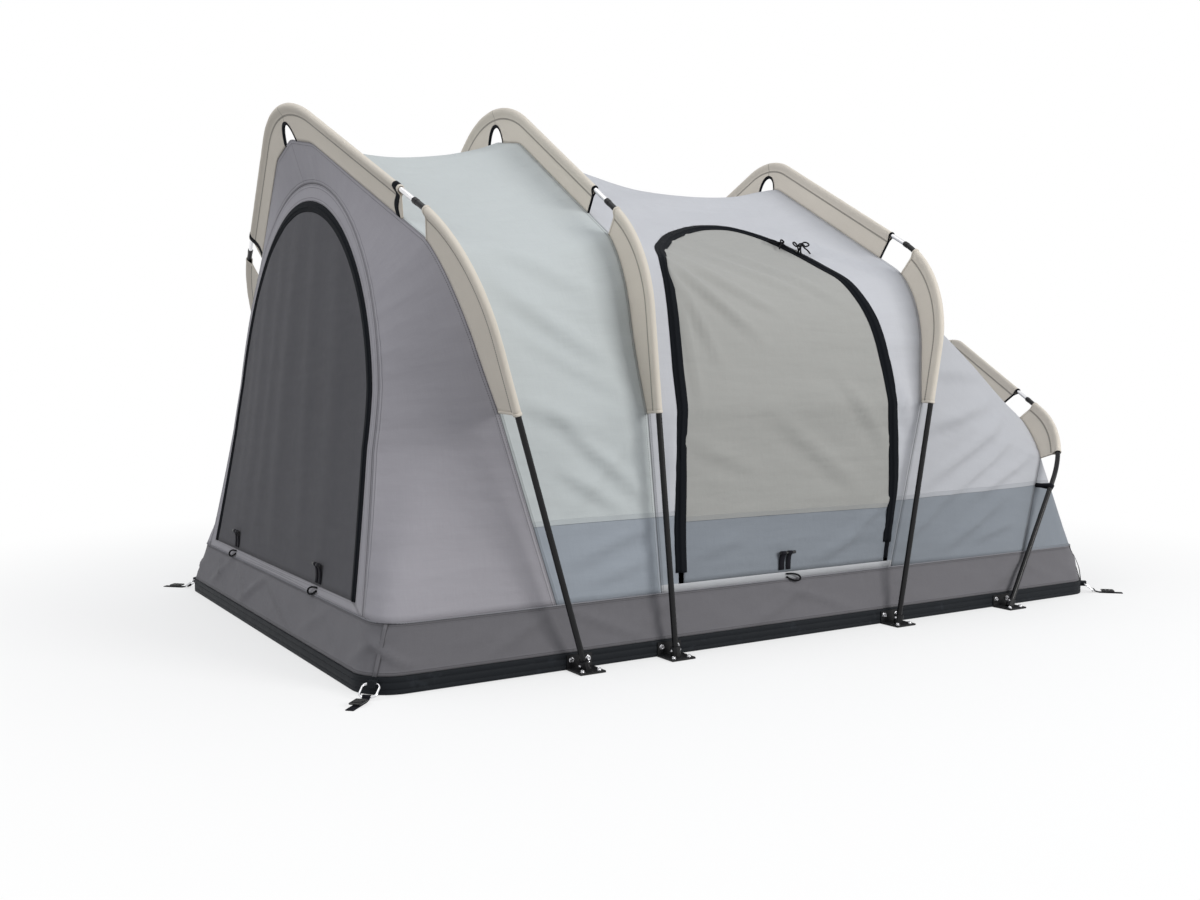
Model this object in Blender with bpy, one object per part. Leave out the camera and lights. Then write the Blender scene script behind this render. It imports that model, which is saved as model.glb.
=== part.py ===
"""Roof top tent: a flat base with a sewn tub, a cloth body, and four pole hoops that carry it from outside.

Metres, +Z up. The origin is the middle of the base's underside. +X runs along the floor to the low end,
and the door is in the -Y side. Each hoop lies in its own raked plane, so it is drawn there first, with y
across the tent and s up along the plane from the ground, and then turned into place.
"""
import math

import bmesh
import bpy
from mathutils import Matrix, Vector
from mathutils.bvhtree import BVHTree

# Base and tub
BASE_LENGTH = 2.13
BASE_WIDTH = 1.42
BASE_THICK = 0.035
BASE_CORNER = 0.08
TUB_HEIGHT = 0.098
TUB_END_INSET = 0.034
TUB_SIDE_INSET = 0.018
TUB_CORNER_TOP = 0.07
CORNER_STEPS = 5
REAR_END = -BASE_LENGTH / 2

# Cloth and clearances. A sleeve's fin hangs the fin gap short of the body.
CLOTH = 0.003
FIT = 0.0003
SEAM = 0.0004
FIN_GAP = 0.0005

# Pole hoops
FOOT_OUTSET = 0.030
SIDE_POLE_R = 0.0065
BOW_R = 0.0055
POLE_SIDES = 8
BOSS_SIDES = 10
FERRULE_SHOWN = 0.056
COLLAR_SHOWN = 0.047
LEG_STEPS = 2
SHOULDER_STEPS = 6

# Pole sleeves: a round pocket for the pole and a flat fin down to the body
SLEEVE_EASE = 0.0006
SLEEVE_WALL = 0.0024
FIN_HALF = 0.0015
FIN_ROOT = 0.022
FIN_ROOT_MOST = 0.8
HOLE_TOP = 0.037
HOLE_WAIST = 0.046
HOLE_HALF = 0.055
HOLE_MID = 0.028


class Hoop:
    """One pole hoop, by its sizes in its own plane."""

    def __init__(self, number, along, rake, apex, slope, lean, shoulder, crown, pole, bare, fins):
        self.number = number
        self.ground_x = REAR_END + along
        self.rake = math.radians(rake)
        self.slope = math.radians(slope)
        self.lean = math.radians(lean)
        self.shoulder = shoulder
        self.crown = crown
        self.apex = apex
        self.pole = pole
        self.bare = bare
        self.leg_fin, self.bend_fin, self.roof_fin, self.apex_fin = fins

    def along(self, y, s):
        """The point at y and s in the hoop's plane, in the tent's own frame."""
        return Vector((self.ground_x + s * math.sin(self.rake), y, s * math.cos(self.rake)))

    def across(self):
        """The hoop plane's normal, towards the low end."""
        return Vector((math.cos(self.rake), 0, -math.sin(self.rake)))


LAST_HOOP_BACK = 0.378

# Number, foot's distance from the base's rear end, rake, apex height, roof slope, leg lean, shoulder
# radius, crown radius, side pole length, its bare length below the sleeve, and the fin's depth at the
# sleeve's low end, its extra depth round the bend, its depth on the roof and at the apex. The last hoop
# keeps its distance from the front end.
HOOPS = [
    Hoop(1, 0.4635, -17.55, 1.297, 30.3, -2.6, 0.316, 0.330, 1.083, 0.559, (0.077, 0.034, 0.066, 0.073)),
    Hoop(2, 0.6905, -2.5, 1.288, 33.2, 3.65, 0.291, 0.300, 1.066, 0.531, (0.042, 0.032, 0.059, 0.076)),
    Hoop(3, 1.351, 9.1, 1.244, 27.6, -1.5, 0.300, 0.180, 1.017, 0.547, (0.028, 0.018, 0.065, 0.075)),
    Hoop(4, BASE_LENGTH - LAST_HOOP_BACK, 39.2, 0.922, 29.95, 10.4, 0.358, 0.085, 0.798, 0.515,
         (0.051, 0.010, 0.055, 0.062)),
]

# Roof sag of the bay between each pair of hoops, and how far its sides draw in. The roof's sag begins
# and is full at the two heights, and the sides' sag is full that far above the tub.
BAY_SAGS = [(0.035, 0.010), (0.072, 0.014), (0.040, 0.010)]
SAG_BEGINS = 0.55
SAG_FULL = 1.00
SIDE_SAG_RISE = 0.30
BAY_STEPS = 6
DOOR_BAY_STEPS = 8
GUSSET_STEPS = 6
GUSSET_FLAT_RISE = 0.40
TURN_MOST = 0.95
FRONT_STEPS = 5
FRONT_TURN_STEPS = 4

# Rear wall: a leaning, slightly bowed panel with an arched top, and the window in it
REAR_LEAN = 0.10
REAR_BOW = 0.10
REAR_BOW_RISE = 0.45
REAR_FOOT_HALF = 0.597
REAR_SPRING_HALF = 0.527
REAR_SPRING = 0.46
REAR_TOP = 1.062
PANEL_COLUMNS = 8
REAR_BAND_FOOT = 0.049
REAR_BAND_SPRING = 0.027
REAR_BAND_TOP = 0.042
WINDOW_SILL = 0.155
WINDOW_FOOT_HALF = REAR_FOOT_HALF - REAR_BAND_FOOT
WINDOW_SPRING_HALF = REAR_SPRING_HALF - REAR_BAND_SPRING
WINDOW_TOP = REAR_TOP - REAR_BAND_TOP
ZIP_WIDTH = 0.022
WINDOW_ZIP_FOOT = 0.010

# Door in the middle bay: corners as (distance from the rear end, z) from the right foot round to the left
DOOR_SILL = 0.150
DOOR_CORNERS = [(1.362, DOOR_SILL), (1.375, 0.30), (1.313, 1.049), (0.778, 0.918), (0.730, DOOR_SILL)]
DOOR_RIGHT_R = 0.15
DOOR_LEFT_R = 0.10
DOOR_ARC_STEPS = 6
DOOR_CUT_FROM = -BASE_WIDTH
DOOR_CUT_TO = -0.18

# Foot brackets
BRACKET_WIDTH = 0.06
BRACKET_PLATE = 0.004
BRACKET_REACH = 0.060
BRACKET_RISE = 0.031
BOSS_R = 0.011
POLE_END = 0.024

# Corner rings, their lugs and the tie-down straps
RING_HALF = 0.0175
RING_DEEP = 0.032
RING_CORNER = 0.0085
RING_WIRE = 0.0025
RING_SLOPE = 35.0
RING_CORNER_STEPS = 3
WIRE_SIDES = 6
LUG_WIDTH = 0.016
LUG_SIZE = 0.013
LUG_ROOT = 0.021
LUG_OUT = 0.010
LUG_BORE = 0.0033
LUG_BORE_SIDES = 8
LUG_HEIGHT = 0.024
STRAP_WIDTH = 0.016
STRAP_THICK = 0.0025
STRAP_EYE = 0.0056
STRAP_DROP = 0.016
STRAP_LENGTH = 0.060
EYE_START = 230.0
EYE_TURN = -250.0
EYE_STEPS = 8
BUCKLE_AT = 0.006
BUCKLE_LENGTH = 0.030
BUCKLE_THICK = 0.009
BUCKLE_SLANT = 0.0002
MITER_LEAST = 0.5

# Zip pulls and toggles, with their distances from the rear end
PULL_LENGTH = 0.042
PULL_WIDTH = 0.007
PULL_THICK = 0.003
PULLS_AT = [(1.284, 0.950), (1.301, 0.925)]
TOGGLE_LENGTH = 0.044
TOGGLE_WIDTH = 0.038
TOGGLE_THICK = 0.005
TOGGLE_RISE = 0.006
TAB_SAMPLES = 6
WINDOW_TOGGLE_LIFT = 0.0006
DOOR_TOGGLE_AT = 1.032
WINDOW_TOGGLE_Y = 0.325

TUB_FLOOR = BASE_THICK + FIT
TUB_TOP = TUB_FLOOR + TUB_HEIGHT
BODY_FOOT = TUB_TOP + FIT
TUB_HALF_LENGTH = BASE_LENGTH / 2 - TUB_END_INSET
TUB_HALF_WIDTH = BASE_WIDTH / 2 - TUB_SIDE_INSET
FOOT_Y = BASE_WIDTH / 2 + FOOT_OUTSET


def material(name, colour, roughness, metallic=0.0):
    mat = bpy.data.materials.new(name)
    mat.use_nodes = True
    shader = mat.node_tree.nodes["Principled BSDF"]
    shader.inputs["Base Color"].default_value = (*colour, 1.0)
    shader.inputs["Roughness"].default_value = roughness
    shader.inputs["Metallic"].default_value = metallic
    return mat


def add_object(name, bm, look, origin=(0, 0, 0), smooth_angle=35.0):
    """Close, turn outwards and shade a mesh, and place it with its origin at the given point."""
    bmesh.ops.remove_doubles(bm, verts=bm.verts, dist=0.00001)
    bmesh.ops.dissolve_degenerate(bm, edges=bm.edges, dist=0.000001)
    bmesh.ops.recalc_face_normals(bm, faces=bm.faces)
    bmesh.ops.translate(bm, verts=bm.verts, vec=-Vector(origin))
    mesh = bpy.data.meshes.new(name)
    bm.to_mesh(mesh)
    bm.free()
    mesh.shade_smooth()
    mesh.set_sharp_from_angle(angle=math.radians(smooth_angle))
    obj = bpy.data.objects.new(name, mesh)
    obj.location = origin
    obj.data.materials.append(look)
    bpy.context.scene.collection.objects.link(obj)
    return obj


def combine(obj, tool, operation):
    """Apply a Boolean with another object, which is used up."""
    modifier = obj.modifiers.new(operation.lower(), "BOOLEAN")
    modifier.operation = operation
    modifier.object = tool
    modifier.solver = "EXACT"
    bpy.context.view_layer.update()
    graph = bpy.context.evaluated_depsgraph_get()
    result = bpy.data.meshes.new_from_object(obj.evaluated_get(graph))
    look = obj.data.materials[0]
    obj.modifiers.clear()
    obj.data = result
    result.materials.clear()
    result.materials.append(look)
    bpy.data.objects.remove(tool)
    return obj


def grid_shell(outer, inner):
    """Closed sheet between two grids of points, joined round their rims."""
    bm = bmesh.new()
    skins = [[[bm.verts.new(p) for p in row] for row in grid] for grid in (outer, inner)]
    rows = len(outer)
    cols = len(outer[0])
    for skin in skins:
        for i in range(rows - 1):
            for j in range(cols - 1):
                bm.faces.new((skin[i][j], skin[i][j + 1], skin[i + 1][j + 1], skin[i + 1][j]))
    rim = [(i, 0) for i in range(rows)]
    rim += [(rows - 1, j) for j in range(1, cols)]
    rim += [(i, cols - 1) for i in range(rows - 2, -1, -1)]
    rim += [(0, j) for j in range(cols - 2, 0, -1)]
    for (i, j), (k, m) in zip(rim, rim[1:] + rim[:1]):
        bm.faces.new((skins[0][i][j], skins[0][k][m], skins[1][k][m], skins[1][i][j]))
    return bm


def skin_loops(loops, closed_ends=True, ring=False):
    """Skin a row of equal loops. The row is capped at its ends, or joined end to end."""
    bm = bmesh.new()
    rows = [[bm.verts.new(p) for p in loop] for loop in loops]
    count = len(loops[0])
    pairs = list(zip(rows, rows[1:]))
    if ring:
        pairs.append((rows[-1], rows[0]))
    for a, b in pairs:
        for j in range(count):
            k = (j + 1) % count
            bm.faces.new((a[j], a[k], b[k], b[j]))
    if closed_ends and not ring:
        bm.faces.new(rows[0])
        bm.faces.new(rows[-1])
    return bm


def prism(name, outline, start, end):
    """Closed solid from an outline function: each (u, v) is placed at the start and end depths."""
    bm = skin_loops([[start(u, v) for u, v in outline], [end(u, v) for u, v in outline]])
    return add_object(name, bm, LOOKS["cutter"])


def rounded_rectangle(half_x, half_y, radius, steps):
    """Plan outline, anticlockwise from the +X side."""
    points = []
    for k, (sx, sy) in enumerate([(1, 1), (-1, 1), (-1, -1), (1, -1)]):
        for i in range(steps + 1):
            angle = math.pi / 2 * (k + i / steps)
            x = sx * (half_x - radius) + radius * math.cos(angle)
            y = sy * (half_y - radius) + radius * math.sin(angle)
            points.append((x, y))
    return points


def heading(angle):
    """Direction up the pole and the direction in to the body, both as (y, s), on the +Y half."""
    return Vector((-math.sin(angle), math.cos(angle))), Vector((-math.cos(angle), -math.sin(angle)))


class PolePath:
    """Centre line of half a hoop: straight leg, shoulder bend, straight roof pole and crown bend."""

    def __init__(self, hoop):
        self.hoop = hoop
        self.roof = math.pi / 2 - hoop.slope
        up_leg, in_leg = heading(hoop.lean)
        up_roof = heading(self.roof)[0]
        roof_height = hoop.apex + hoop.crown * (1 / math.cos(hoop.slope) - 1)
        fall = math.tan(hoop.slope)
        corner_s = (roof_height - FOOT_Y * fall) / (1 - math.tan(hoop.lean) * fall)
        corner = Vector((FOOT_Y - corner_s * math.tan(hoop.lean), corner_s))
        reach = hoop.shoulder * math.tan((self.roof - hoop.lean) / 2)
        self.leg = corner_s / math.cos(hoop.lean) - reach
        self.bend_centre = corner - up_leg * reach + in_leg * hoop.shoulder
        self.bend = hoop.shoulder * (self.roof - hoop.lean)
        self.roof_foot = corner + up_roof * reach
        self.crown_centre = Vector((0, hoop.apex - hoop.crown))
        crown_foot = self.crown_centre - heading(self.roof)[1] * hoop.crown
        self.straight = (crown_foot - self.roof_foot).length
        self.length = self.leg + self.bend + self.straight + hoop.crown * hoop.slope

    def at(self, distance):
        """Point and inward direction at a distance up the pole from the ground."""
        if distance <= self.leg:
            up, inward = heading(self.hoop.lean)
            return Vector((FOOT_Y, 0)) + up * distance, inward
        distance -= self.leg
        if distance <= self.bend:
            inward = heading(self.hoop.lean + distance / self.hoop.shoulder)[1]
            return self.bend_centre - inward * self.hoop.shoulder, inward
        distance -= self.bend
        if distance <= self.straight:
            up, inward = heading(self.roof)
            return self.roof_foot + up * distance, inward
        inward = heading(self.roof + (distance - self.straight) / self.hoop.crown)[1]
        return self.crown_centre - inward * self.hoop.crown, inward


def hoop_half(hoop):
    """Stations up the +Y half of a hoop, from the foot to the apex: name, place, inward, fin depth."""
    path = PolePath(hoop)
    marks = [("foot", POLE_END, hoop.leg_fin)]
    marks += [("leg", hoop.bare * (LEG_STEPS + i) / (2 * LEG_STEPS), hoop.leg_fin) for i in range(LEG_STEPS)]
    low = hoop.pole - COLLAR_SHOWN
    high = hoop.pole + FERRULE_SHOWN
    for i in range(SHOULDER_STEPS):
        share = i / SHOULDER_STEPS
        depth = hoop.leg_fin + (hoop.roof_fin - hoop.leg_fin) * share
        depth += hoop.bend_fin * math.sin(math.pi * share)
        marks.append(("shoulder" if i else "sleeve_end", hoop.bare + (low - hoop.bare) * share, depth))
    crown = path.length - hoop.crown * hoop.slope
    marks.append(("gap_low", low, hoop.roof_fin))
    marks.append(("joint", hoop.pole, hoop.roof_fin))
    marks.append(("gap_high", high, hoop.roof_fin))
    marks.append(("roof", (high + crown) / 2, hoop.roof_fin))
    marks.append(("crown", crown, hoop.roof_fin))
    for name, before in (("hole_edge", HOLE_HALF), ("hole_mid", HOLE_MID), ("apex", 0.0)):
        share = 1 - before / (path.length - crown)
        marks.append((name, path.length - before, hoop.roof_fin + (hoop.apex_fin - hoop.roof_fin) * share))
    return [(name, *path.at(distance), depth) for name, distance, depth in marks]


def hoop_stations(hoop):
    """All stations in the tent's frame, from the -Y foot over the apex to the +Y foot."""
    half = hoop_half(hoop)
    result = []
    for side, part in ((-1, half), (1, half[-2::-1])):
        for name, place, inward, depth in part:
            point = hoop.along(side * place[0], place[1])
            toward = hoop.along(side * (place[0] + inward[0]), place[1] + inward[1]) - point
            result.append((name, point, toward, depth))
    return result


def find(stations, name, nth):
    """Index of the nth station of that name."""
    return [i for i, station in enumerate(stations) if station[0] == name][nth]


def body_line(hoop):
    """Where the cloth body meets the hoop's plane: (outer point, inward direction) from -Y tub to +Y tub."""
    stations = hoop_stations(hoop)
    kept = [s for s in stations if s[0] not in ("foot", "leg", "joint", "hole_edge", "hole_mid")]
    line = [(point + toward * depth, toward) for name, point, toward, depth in kept]
    feet = []
    for side in (-1, 1):
        foot = hoop.along(side * TUB_HALF_WIDTH, BODY_FOOT / math.cos(hoop.rake))
        level = Vector((0, -side, 0))
        end = line[0] if side < 0 else line[-1]
        middle = (foot + end[0]) / 2
        feet.append([(foot, level), (middle, (level + end[1]).normalized())])
    return feet[0] + line + feet[1][::-1]


def above_tub(point):
    """The point, lifted to the body's foot where it would be below it."""
    return Vector((point.x, point.y, max(point.z, BODY_FOOT)))


def sag_share(z):
    """How much of the roof's sag a point of the body takes: none at the tub, all on the roof."""
    rise = min(max((z - SAG_BEGINS) / (SAG_FULL - SAG_BEGINS), 0.0), 1.0)
    return rise * rise * (3 - 2 * rise)


def bay_grids(front_hoop, rear_hoop, sags, steps):
    """Outer and inner grids of the body between two hoops, rear_hoop first."""
    roof_sag, side_sag = sags
    first = body_line(rear_hoop)
    last = body_line(front_hoop)
    outer = []
    inner = []
    for (p, p_in), (q, q_in) in zip(first, last):
        row = []
        lining = []
        for j in range(steps + 1):
            share = j / steps
            start = p + rear_hoop.across() * SEAM / 2
            end = q - front_hoop.across() * SEAM / 2
            point = start.lerp(end, share)
            toward = p_in.lerp(q_in, share).normalized()
            height = sag_share(point.z)
            rise = min((point.z - BODY_FOOT) / SIDE_SAG_RISE, 1.0)
            depth = roof_sag * height + side_sag * (1 - height) * rise
            point = point + toward * depth * 4 * share * (1 - share)
            row.append(point)
            lining.append(above_tub(point + toward * CLOTH))
        outer.append(row)
        inner.append(lining)
    return outer, inner


def build_bay(name, rear_hoop, front_hoop, sags, steps, look):
    outer, inner = bay_grids(front_hoop, rear_hoop, sags, steps)
    return add_object(name, grid_shell(outer, inner), look)


def rear_point(y, z, depth=0.0):
    """Point of the rear wall that far in from its outer face."""
    bow = REAR_BOW * min(max((z - BODY_FOOT) / REAR_BOW_RISE, 0.0), 1.0)
    x = REAR_LEAN * (z - BODY_FOOT) + bow * y * y - TUB_HALF_LENGTH
    inward = Vector((1, -2 * bow * y, -REAR_LEAN)).normalized()
    return above_tub(Vector((x, y, z)) + inward * depth)


class Arch:
    """Arched outline on the rear wall: leaning sides up to the spring line and half an ellipse on top."""

    def __init__(self, foot_half, spring_half, sill, top):
        self.foot_half = foot_half
        self.spring_half = spring_half
        self.sill = sill
        self.top = top

    def inset(self, gap, sill):
        """The outline drawn in all round by the gap, from its own sill up."""
        share = (sill - self.sill) / (REAR_SPRING - self.sill)
        foot_half = self.foot_half + (self.spring_half - self.foot_half) * share
        return Arch(foot_half - gap, self.spring_half - gap, sill, self.top - gap)

    def facing(self, point):
        """The (y, z) of the outline that faces a point of the first hoop's body line."""
        side = -1 if point.y < 0 else 1
        if point.z <= REAR_SPRING:
            share = (point.z - BODY_FOOT) / (REAR_SPRING - BODY_FOOT)
            z = self.sill + (REAR_SPRING - self.sill) * share
            return side * (self.foot_half + (self.spring_half - self.foot_half) * share), z
        rise = (point.z - REAR_SPRING) / (REAR_TOP - REAR_SPRING)
        angle = math.atan2(rise, abs(point.y) / REAR_SPRING_HALF)
        return (side * self.spring_half * math.cos(angle),
                REAR_SPRING + (self.top - REAR_SPRING) * math.sin(angle))

    def outline(self, depth=0.0):
        """Points of the outline, that far in from the wall's outer face, from -Y foot to +Y foot."""
        return [rear_point(*self.facing(point), depth) for point, _ in body_line(HOOPS[0])]


def rounded_turn(start, corner, end, radius, steps):
    """Points from start to end round a corner, with a bend that begins radius before and after it."""
    first = min(radius, TURN_MOST * (start - corner).length)
    second = min(radius, TURN_MOST * (end - corner).length)
    a = corner + (start - corner).normalized() * first
    b = corner + (end - corner).normalized() * second
    points = [start]
    bends = steps - 2
    for i in range(bends + 1):
        share = i / bends
        points.append(a.lerp(corner, share).lerp(corner.lerp(b, share), share))
    points.append(end)
    return points


def build_rear_gusset(look):
    """Curved cloth from the rear wall's arched edge round the corners and up to the first hoop."""
    hoop = HOOPS[0]
    outer = []
    inner = []
    edge = REAR_EDGE.inset(-SEAM, BODY_FOOT)
    for point, toward in body_line(hoop):
        end = point - hoop.across() * SEAM / 2
        y, z = edge.facing(point)
        start = rear_point(y, z)
        wall_in = (rear_point(y, z, 1.0) - start).normalized()
        corner = Vector((rear_point(0, end.z).x, end.y, end.z))
        bulge = max(1 - (z - BODY_FOOT) / GUSSET_FLAT_RISE, 0.0) ** 2
        bent = rounded_turn(start, corner, end, TUB_CORNER_TOP, GUSSET_STEPS)
        row = []
        for j, place in enumerate(bent):
            straight = start.lerp(end, j / (len(bent) - 1))
            row.append(straight.lerp(place, bulge))
        lining = []
        for j, place in enumerate(row):
            share = j / (len(row) - 1)
            lining.append(above_tub(place + wall_in.lerp(toward, share).normalized() * CLOTH))
        outer.append(row)
        inner.append(lining)
    return add_object("rear_gusset", grid_shell(outer, inner), look)


def front_edge():
    """Top edge of the tub from the last hoop's -Y foot round the front to its +Y foot: (point, inward)."""
    hoop = HOOPS[-1]
    start_x = hoop.along(0, BODY_FOOT / math.cos(hoop.rake)).x
    bend = TUB_CORNER_TOP
    middle_x = (start_x + TUB_HALF_LENGTH - bend) / 2
    half = [(Vector((x, -TUB_HALF_WIDTH, BODY_FOOT)), Vector((0, 1, 0))) for x in (start_x, middle_x)]
    centre = Vector((TUB_HALF_LENGTH - bend, -TUB_HALF_WIDTH + bend, BODY_FOOT))
    for i in range(FRONT_TURN_STEPS + 1):
        angle = -math.pi / 2 + math.pi / 2 * i / FRONT_TURN_STEPS
        outward = Vector((math.cos(angle), math.sin(angle), 0))
        half.append((centre + outward * bend, -outward))
    runs = (len(body_line(hoop)) - 1) // 2 - (len(half) - 1)
    for i in range(1, runs + 1):
        y = (-TUB_HALF_WIDTH + bend) * (1 - i / runs)
        half.append((Vector((TUB_HALF_LENGTH, y, BODY_FOOT)), Vector((-1, 0, 0))))
    mirrored = [(Vector((p.x, -p.y, p.z)), Vector((n.x, -n.y, n.z))) for p, n in half[-2::-1]]
    return half + mirrored


def build_front_wall(look):
    """Cloth from the tub's front edge up to the last hoop."""
    hoop = HOOPS[-1]
    outer = []
    inner = []
    for (foot, foot_in), (point, toward) in zip(front_edge(), body_line(hoop)):
        end = point + hoop.across() * SEAM / 2
        if (point - foot).length < CLOTH:
            foot = end
            foot_in = toward
        row = []
        lining = []
        for j in range(FRONT_STEPS + 1):
            share = j / FRONT_STEPS
            place = foot.lerp(end, share)
            row.append(place)
            lining.append(above_tub(place + foot_in.lerp(toward, share).normalized() * CLOTH))
        outer.append(row)
        inner.append(lining)
    return add_object("front_wall", grid_shell(outer, inner), look)


def ring_section(point, toward, across, radius, sides):
    """Round section of a pole, with flats square to the hoop's plane."""
    loop = []
    for i in range(sides):
        angle = 2 * math.pi * (i + 0.5) / sides
        loop.append(point + toward * radius * math.cos(angle) + across * radius * math.sin(angle))
    return loop


def build_pole(name, stations, across, radius, look):
    loops = [ring_section(point, toward, across, radius, POLE_SIDES) for _, point, toward, _ in stations]
    return add_object(name, skin_loops(loops), look, origin=stations[0][1])


def sleeve_sections(point, toward, across, depth, pole_radius):
    """Outer outline of a sleeve's section and its bore, as matching loops of eight points."""
    bore = pole_radius + SLEEVE_EASE
    pocket = bore + SLEEVE_WALL
    root = min(FIN_ROOT, depth * FIN_ROOT_MOST)
    slant = math.sqrt(0.5)
    outline = [(depth, FIN_HALF), (root, FIN_HALF), (0.0, pocket), (-slant * pocket, slant * pocket)]
    outline += [(u, -w) for u, w in reversed(outline)]
    outer = [point + toward * u + across * w for u, w in outline]
    return outer, ring_section(point, toward, across, bore, POLE_SIDES)


def build_sleeve(name, stations, across, pole_radius, look):
    """Sewn sleeve: pocket and fin in one, with the pole's bore open at both ends."""
    bm = bmesh.new()
    rings = []
    for kind, point, toward, depth in stations:
        reach = {"apex": HOLE_TOP, "hole_mid": HOLE_WAIST}.get(kind, depth - FIN_GAP)
        sections = sleeve_sections(point, toward, across, reach, pole_radius)
        rings.append([[bm.verts.new(p) for p in loop] for loop in sections])
    for skin in (0, 1):
        for a, b in zip(rings, rings[1:]):
            for j in range(POLE_SIDES):
                k = (j + 1) % POLE_SIDES
                bm.faces.new((a[skin][j], a[skin][k], b[skin][k], b[skin][j]))
    for outer, bore in (rings[0], rings[-1]):
        for j in range(POLE_SIDES):
            k = (j + 1) % POLE_SIDES
            bm.faces.new((outer[j], outer[k], bore[k], bore[j]))
    return add_object(name, bm, look)


def build_hoop(hoop):
    """Bow, two side poles, top sleeve and two side sleeves of one hoop."""
    stations = hoop_stations(hoop)
    across = hoop.across()
    joints = [find(stations, "joint", side) for side in (0, 1)]
    highs = [find(stations, "gap_high", side) for side in (0, 1)]
    lows = [find(stations, "gap_low", side) for side in (0, 1)]
    ends = [find(stations, "sleeve_end", side) for side in (0, 1)]
    bow = shortened(stations[joints[0]:joints[1] + 1], FIT, FIT)
    build_pole(f"bow_pole_{hoop.number}", bow, across, BOW_R, LOOKS["bright_pole"])
    top = stations[highs[0]:highs[1] + 1]
    build_sleeve(f"top_sleeve_{hoop.number}", top, across, BOW_R, LOOKS["sleeve_cloth"])
    for side in ("door", "far"):
        if side == "door":
            pole = stations[:joints[0] + 1]
            sleeve = stations[ends[0]:lows[0] + 1]
        else:
            pole = stations[joints[1]:][::-1]
            sleeve = stations[lows[1]:ends[1] + 1]
        build_pole(f"side_pole_{hoop.number}_{side}", pole, across, SIDE_POLE_R, LOOKS["dark_pole"])
        label = f"side_sleeve_{hoop.number}_{side}"
        build_sleeve(label, sleeve, across, SIDE_POLE_R, LOOKS["sleeve_cloth"])


def shortened(stations, at_start, at_end):
    """The same run of stations with its ends drawn back."""
    result = list(stations)
    for index, beside, cut in ((0, 1, at_start), (-1, -2, at_end)):
        name, point, toward, depth = result[index]
        step = (result[beside][1] - point).normalized()
        result[index] = (name, point + step * cut, toward, depth)
    return result


def build_base():
    """Floor panel with a lug at each corner for its ring."""
    plan = rounded_rectangle(BASE_LENGTH / 2, BASE_WIDTH / 2, BASE_CORNER, CORNER_STEPS)
    bm = skin_loops([[Vector((x, y, z)) for x, y in plan] for z in (0, BASE_THICK)])
    base = add_object("floor_panel", bm, LOOKS["base"])
    for place in corner_places():
        lug = box(-LUG_WIDTH / 2, LUG_WIDTH / 2, -LUG_ROOT, LUG_SIZE / 2, -LUG_SIZE / 2, LUG_SIZE / 2)
        bmesh.ops.transform(lug, matrix=place, verts=lug.verts)
        combine(base, add_object("lug", lug, LOOKS["cutter"]), "UNION")
        bore = [(LUG_BORE * math.cos(a), LUG_BORE * math.sin(a)) for a in circle_angles(LUG_BORE_SIDES)]
        hole = skin_loops([[place @ Vector((x, u, v)) for u, v in bore] for x in (-LUG_WIDTH, LUG_WIDTH)])
        combine(base, add_object("bore", hole, LOOKS["cutter"]), "DIFFERENCE")


def circle_angles(sides):
    return [2 * math.pi * (i + 0.5) / sides for i in range(sides)]


def box(x0, x1, y0, y1, z0, z1):
    plan = [(x0, y0), (x1, y0), (x1, y1), (x0, y1)]
    return skin_loops([[Vector((x, y, z)) for x, y in plan] for z in (z0, z1)])


def corner_places():
    """Frame at each corner lug: x along the ring's bar, y straight out from the corner, z up."""
    places = []
    out = BASE_CORNER + LUG_OUT
    for sx, sy in ((-1, -1), (-1, 1), (1, -1), (1, 1)):
        outward = Vector((sx, sy, 0)).normalized()
        half_x = BASE_LENGTH / 2 - BASE_CORNER
        half_y = BASE_WIDTH / 2 - BASE_CORNER
        centre = Vector((sx * half_x, sy * half_y, LUG_HEIGHT))
        turn = Matrix((Vector((outward.y, -outward.x, 0)), outward, Vector((0, 0, 1)))).transposed()
        places.append(Matrix.Translation(centre + outward * out) @ turn.to_4x4())
    return places


def build_corner(index, place):
    """Wire ring in the lug, and the tie-down strap that is looped on it with its buckle."""
    slope = Matrix.Rotation(-math.radians(RING_SLOPE), 4, "X")
    plan = rounded_rectangle(RING_HALF, RING_DEEP / 2, RING_CORNER, RING_CORNER_STEPS)
    path = [Vector((x, y + RING_DEEP / 2, 0)) for x, y in plan]
    loops = []
    count = len(path)
    for i, point in enumerate(path):
        along = (path[(i + 1) % count] - path[i - 1]).normalized()
        side = Vector((along.y, -along.x, 0))
        up = Vector((0, 0, 1))
        loops.append([place @ slope @ (point + side * RING_WIRE * math.cos(a) + up * RING_WIRE * math.sin(a))
                      for a in circle_angles(WIRE_SIDES)])
    pivot = place @ Vector((0, 0, 0))
    add_object(f"corner_ring_{index}", skin_loops(loops, ring=True), LOOKS["bright_wire"], origin=pivot)
    eye = slope @ Vector((0, RING_DEEP, 0))
    build_strap(index, place, eye, pivot)


def ribbon(line):
    """Outline of a strip seen edge on, from (y, z, thickness above, thickness below) along its line."""
    upper = []
    lower = []
    for i, (y, z, above, below) in enumerate(line):
        before = line[max(i - 1, 0)]
        after = line[min(i + 1, len(line) - 1)]
        step_in = Vector((y - before[0], z - before[1]))
        step_out = Vector((after[0] - y, after[1] - z))
        first = (step_in if i else step_out).normalized()
        second = (step_out if i < len(line) - 1 else step_in).normalized()
        mean = (first + second).normalized()
        miter = Vector((-mean.y, mean.x)) / max(mean.dot(first), MITER_LEAST)
        upper.append((y + miter.x * above, z + miter.y * above))
        lower.append((y - miter.x * below, z - miter.y * below))
    return upper + lower[::-1]


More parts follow.
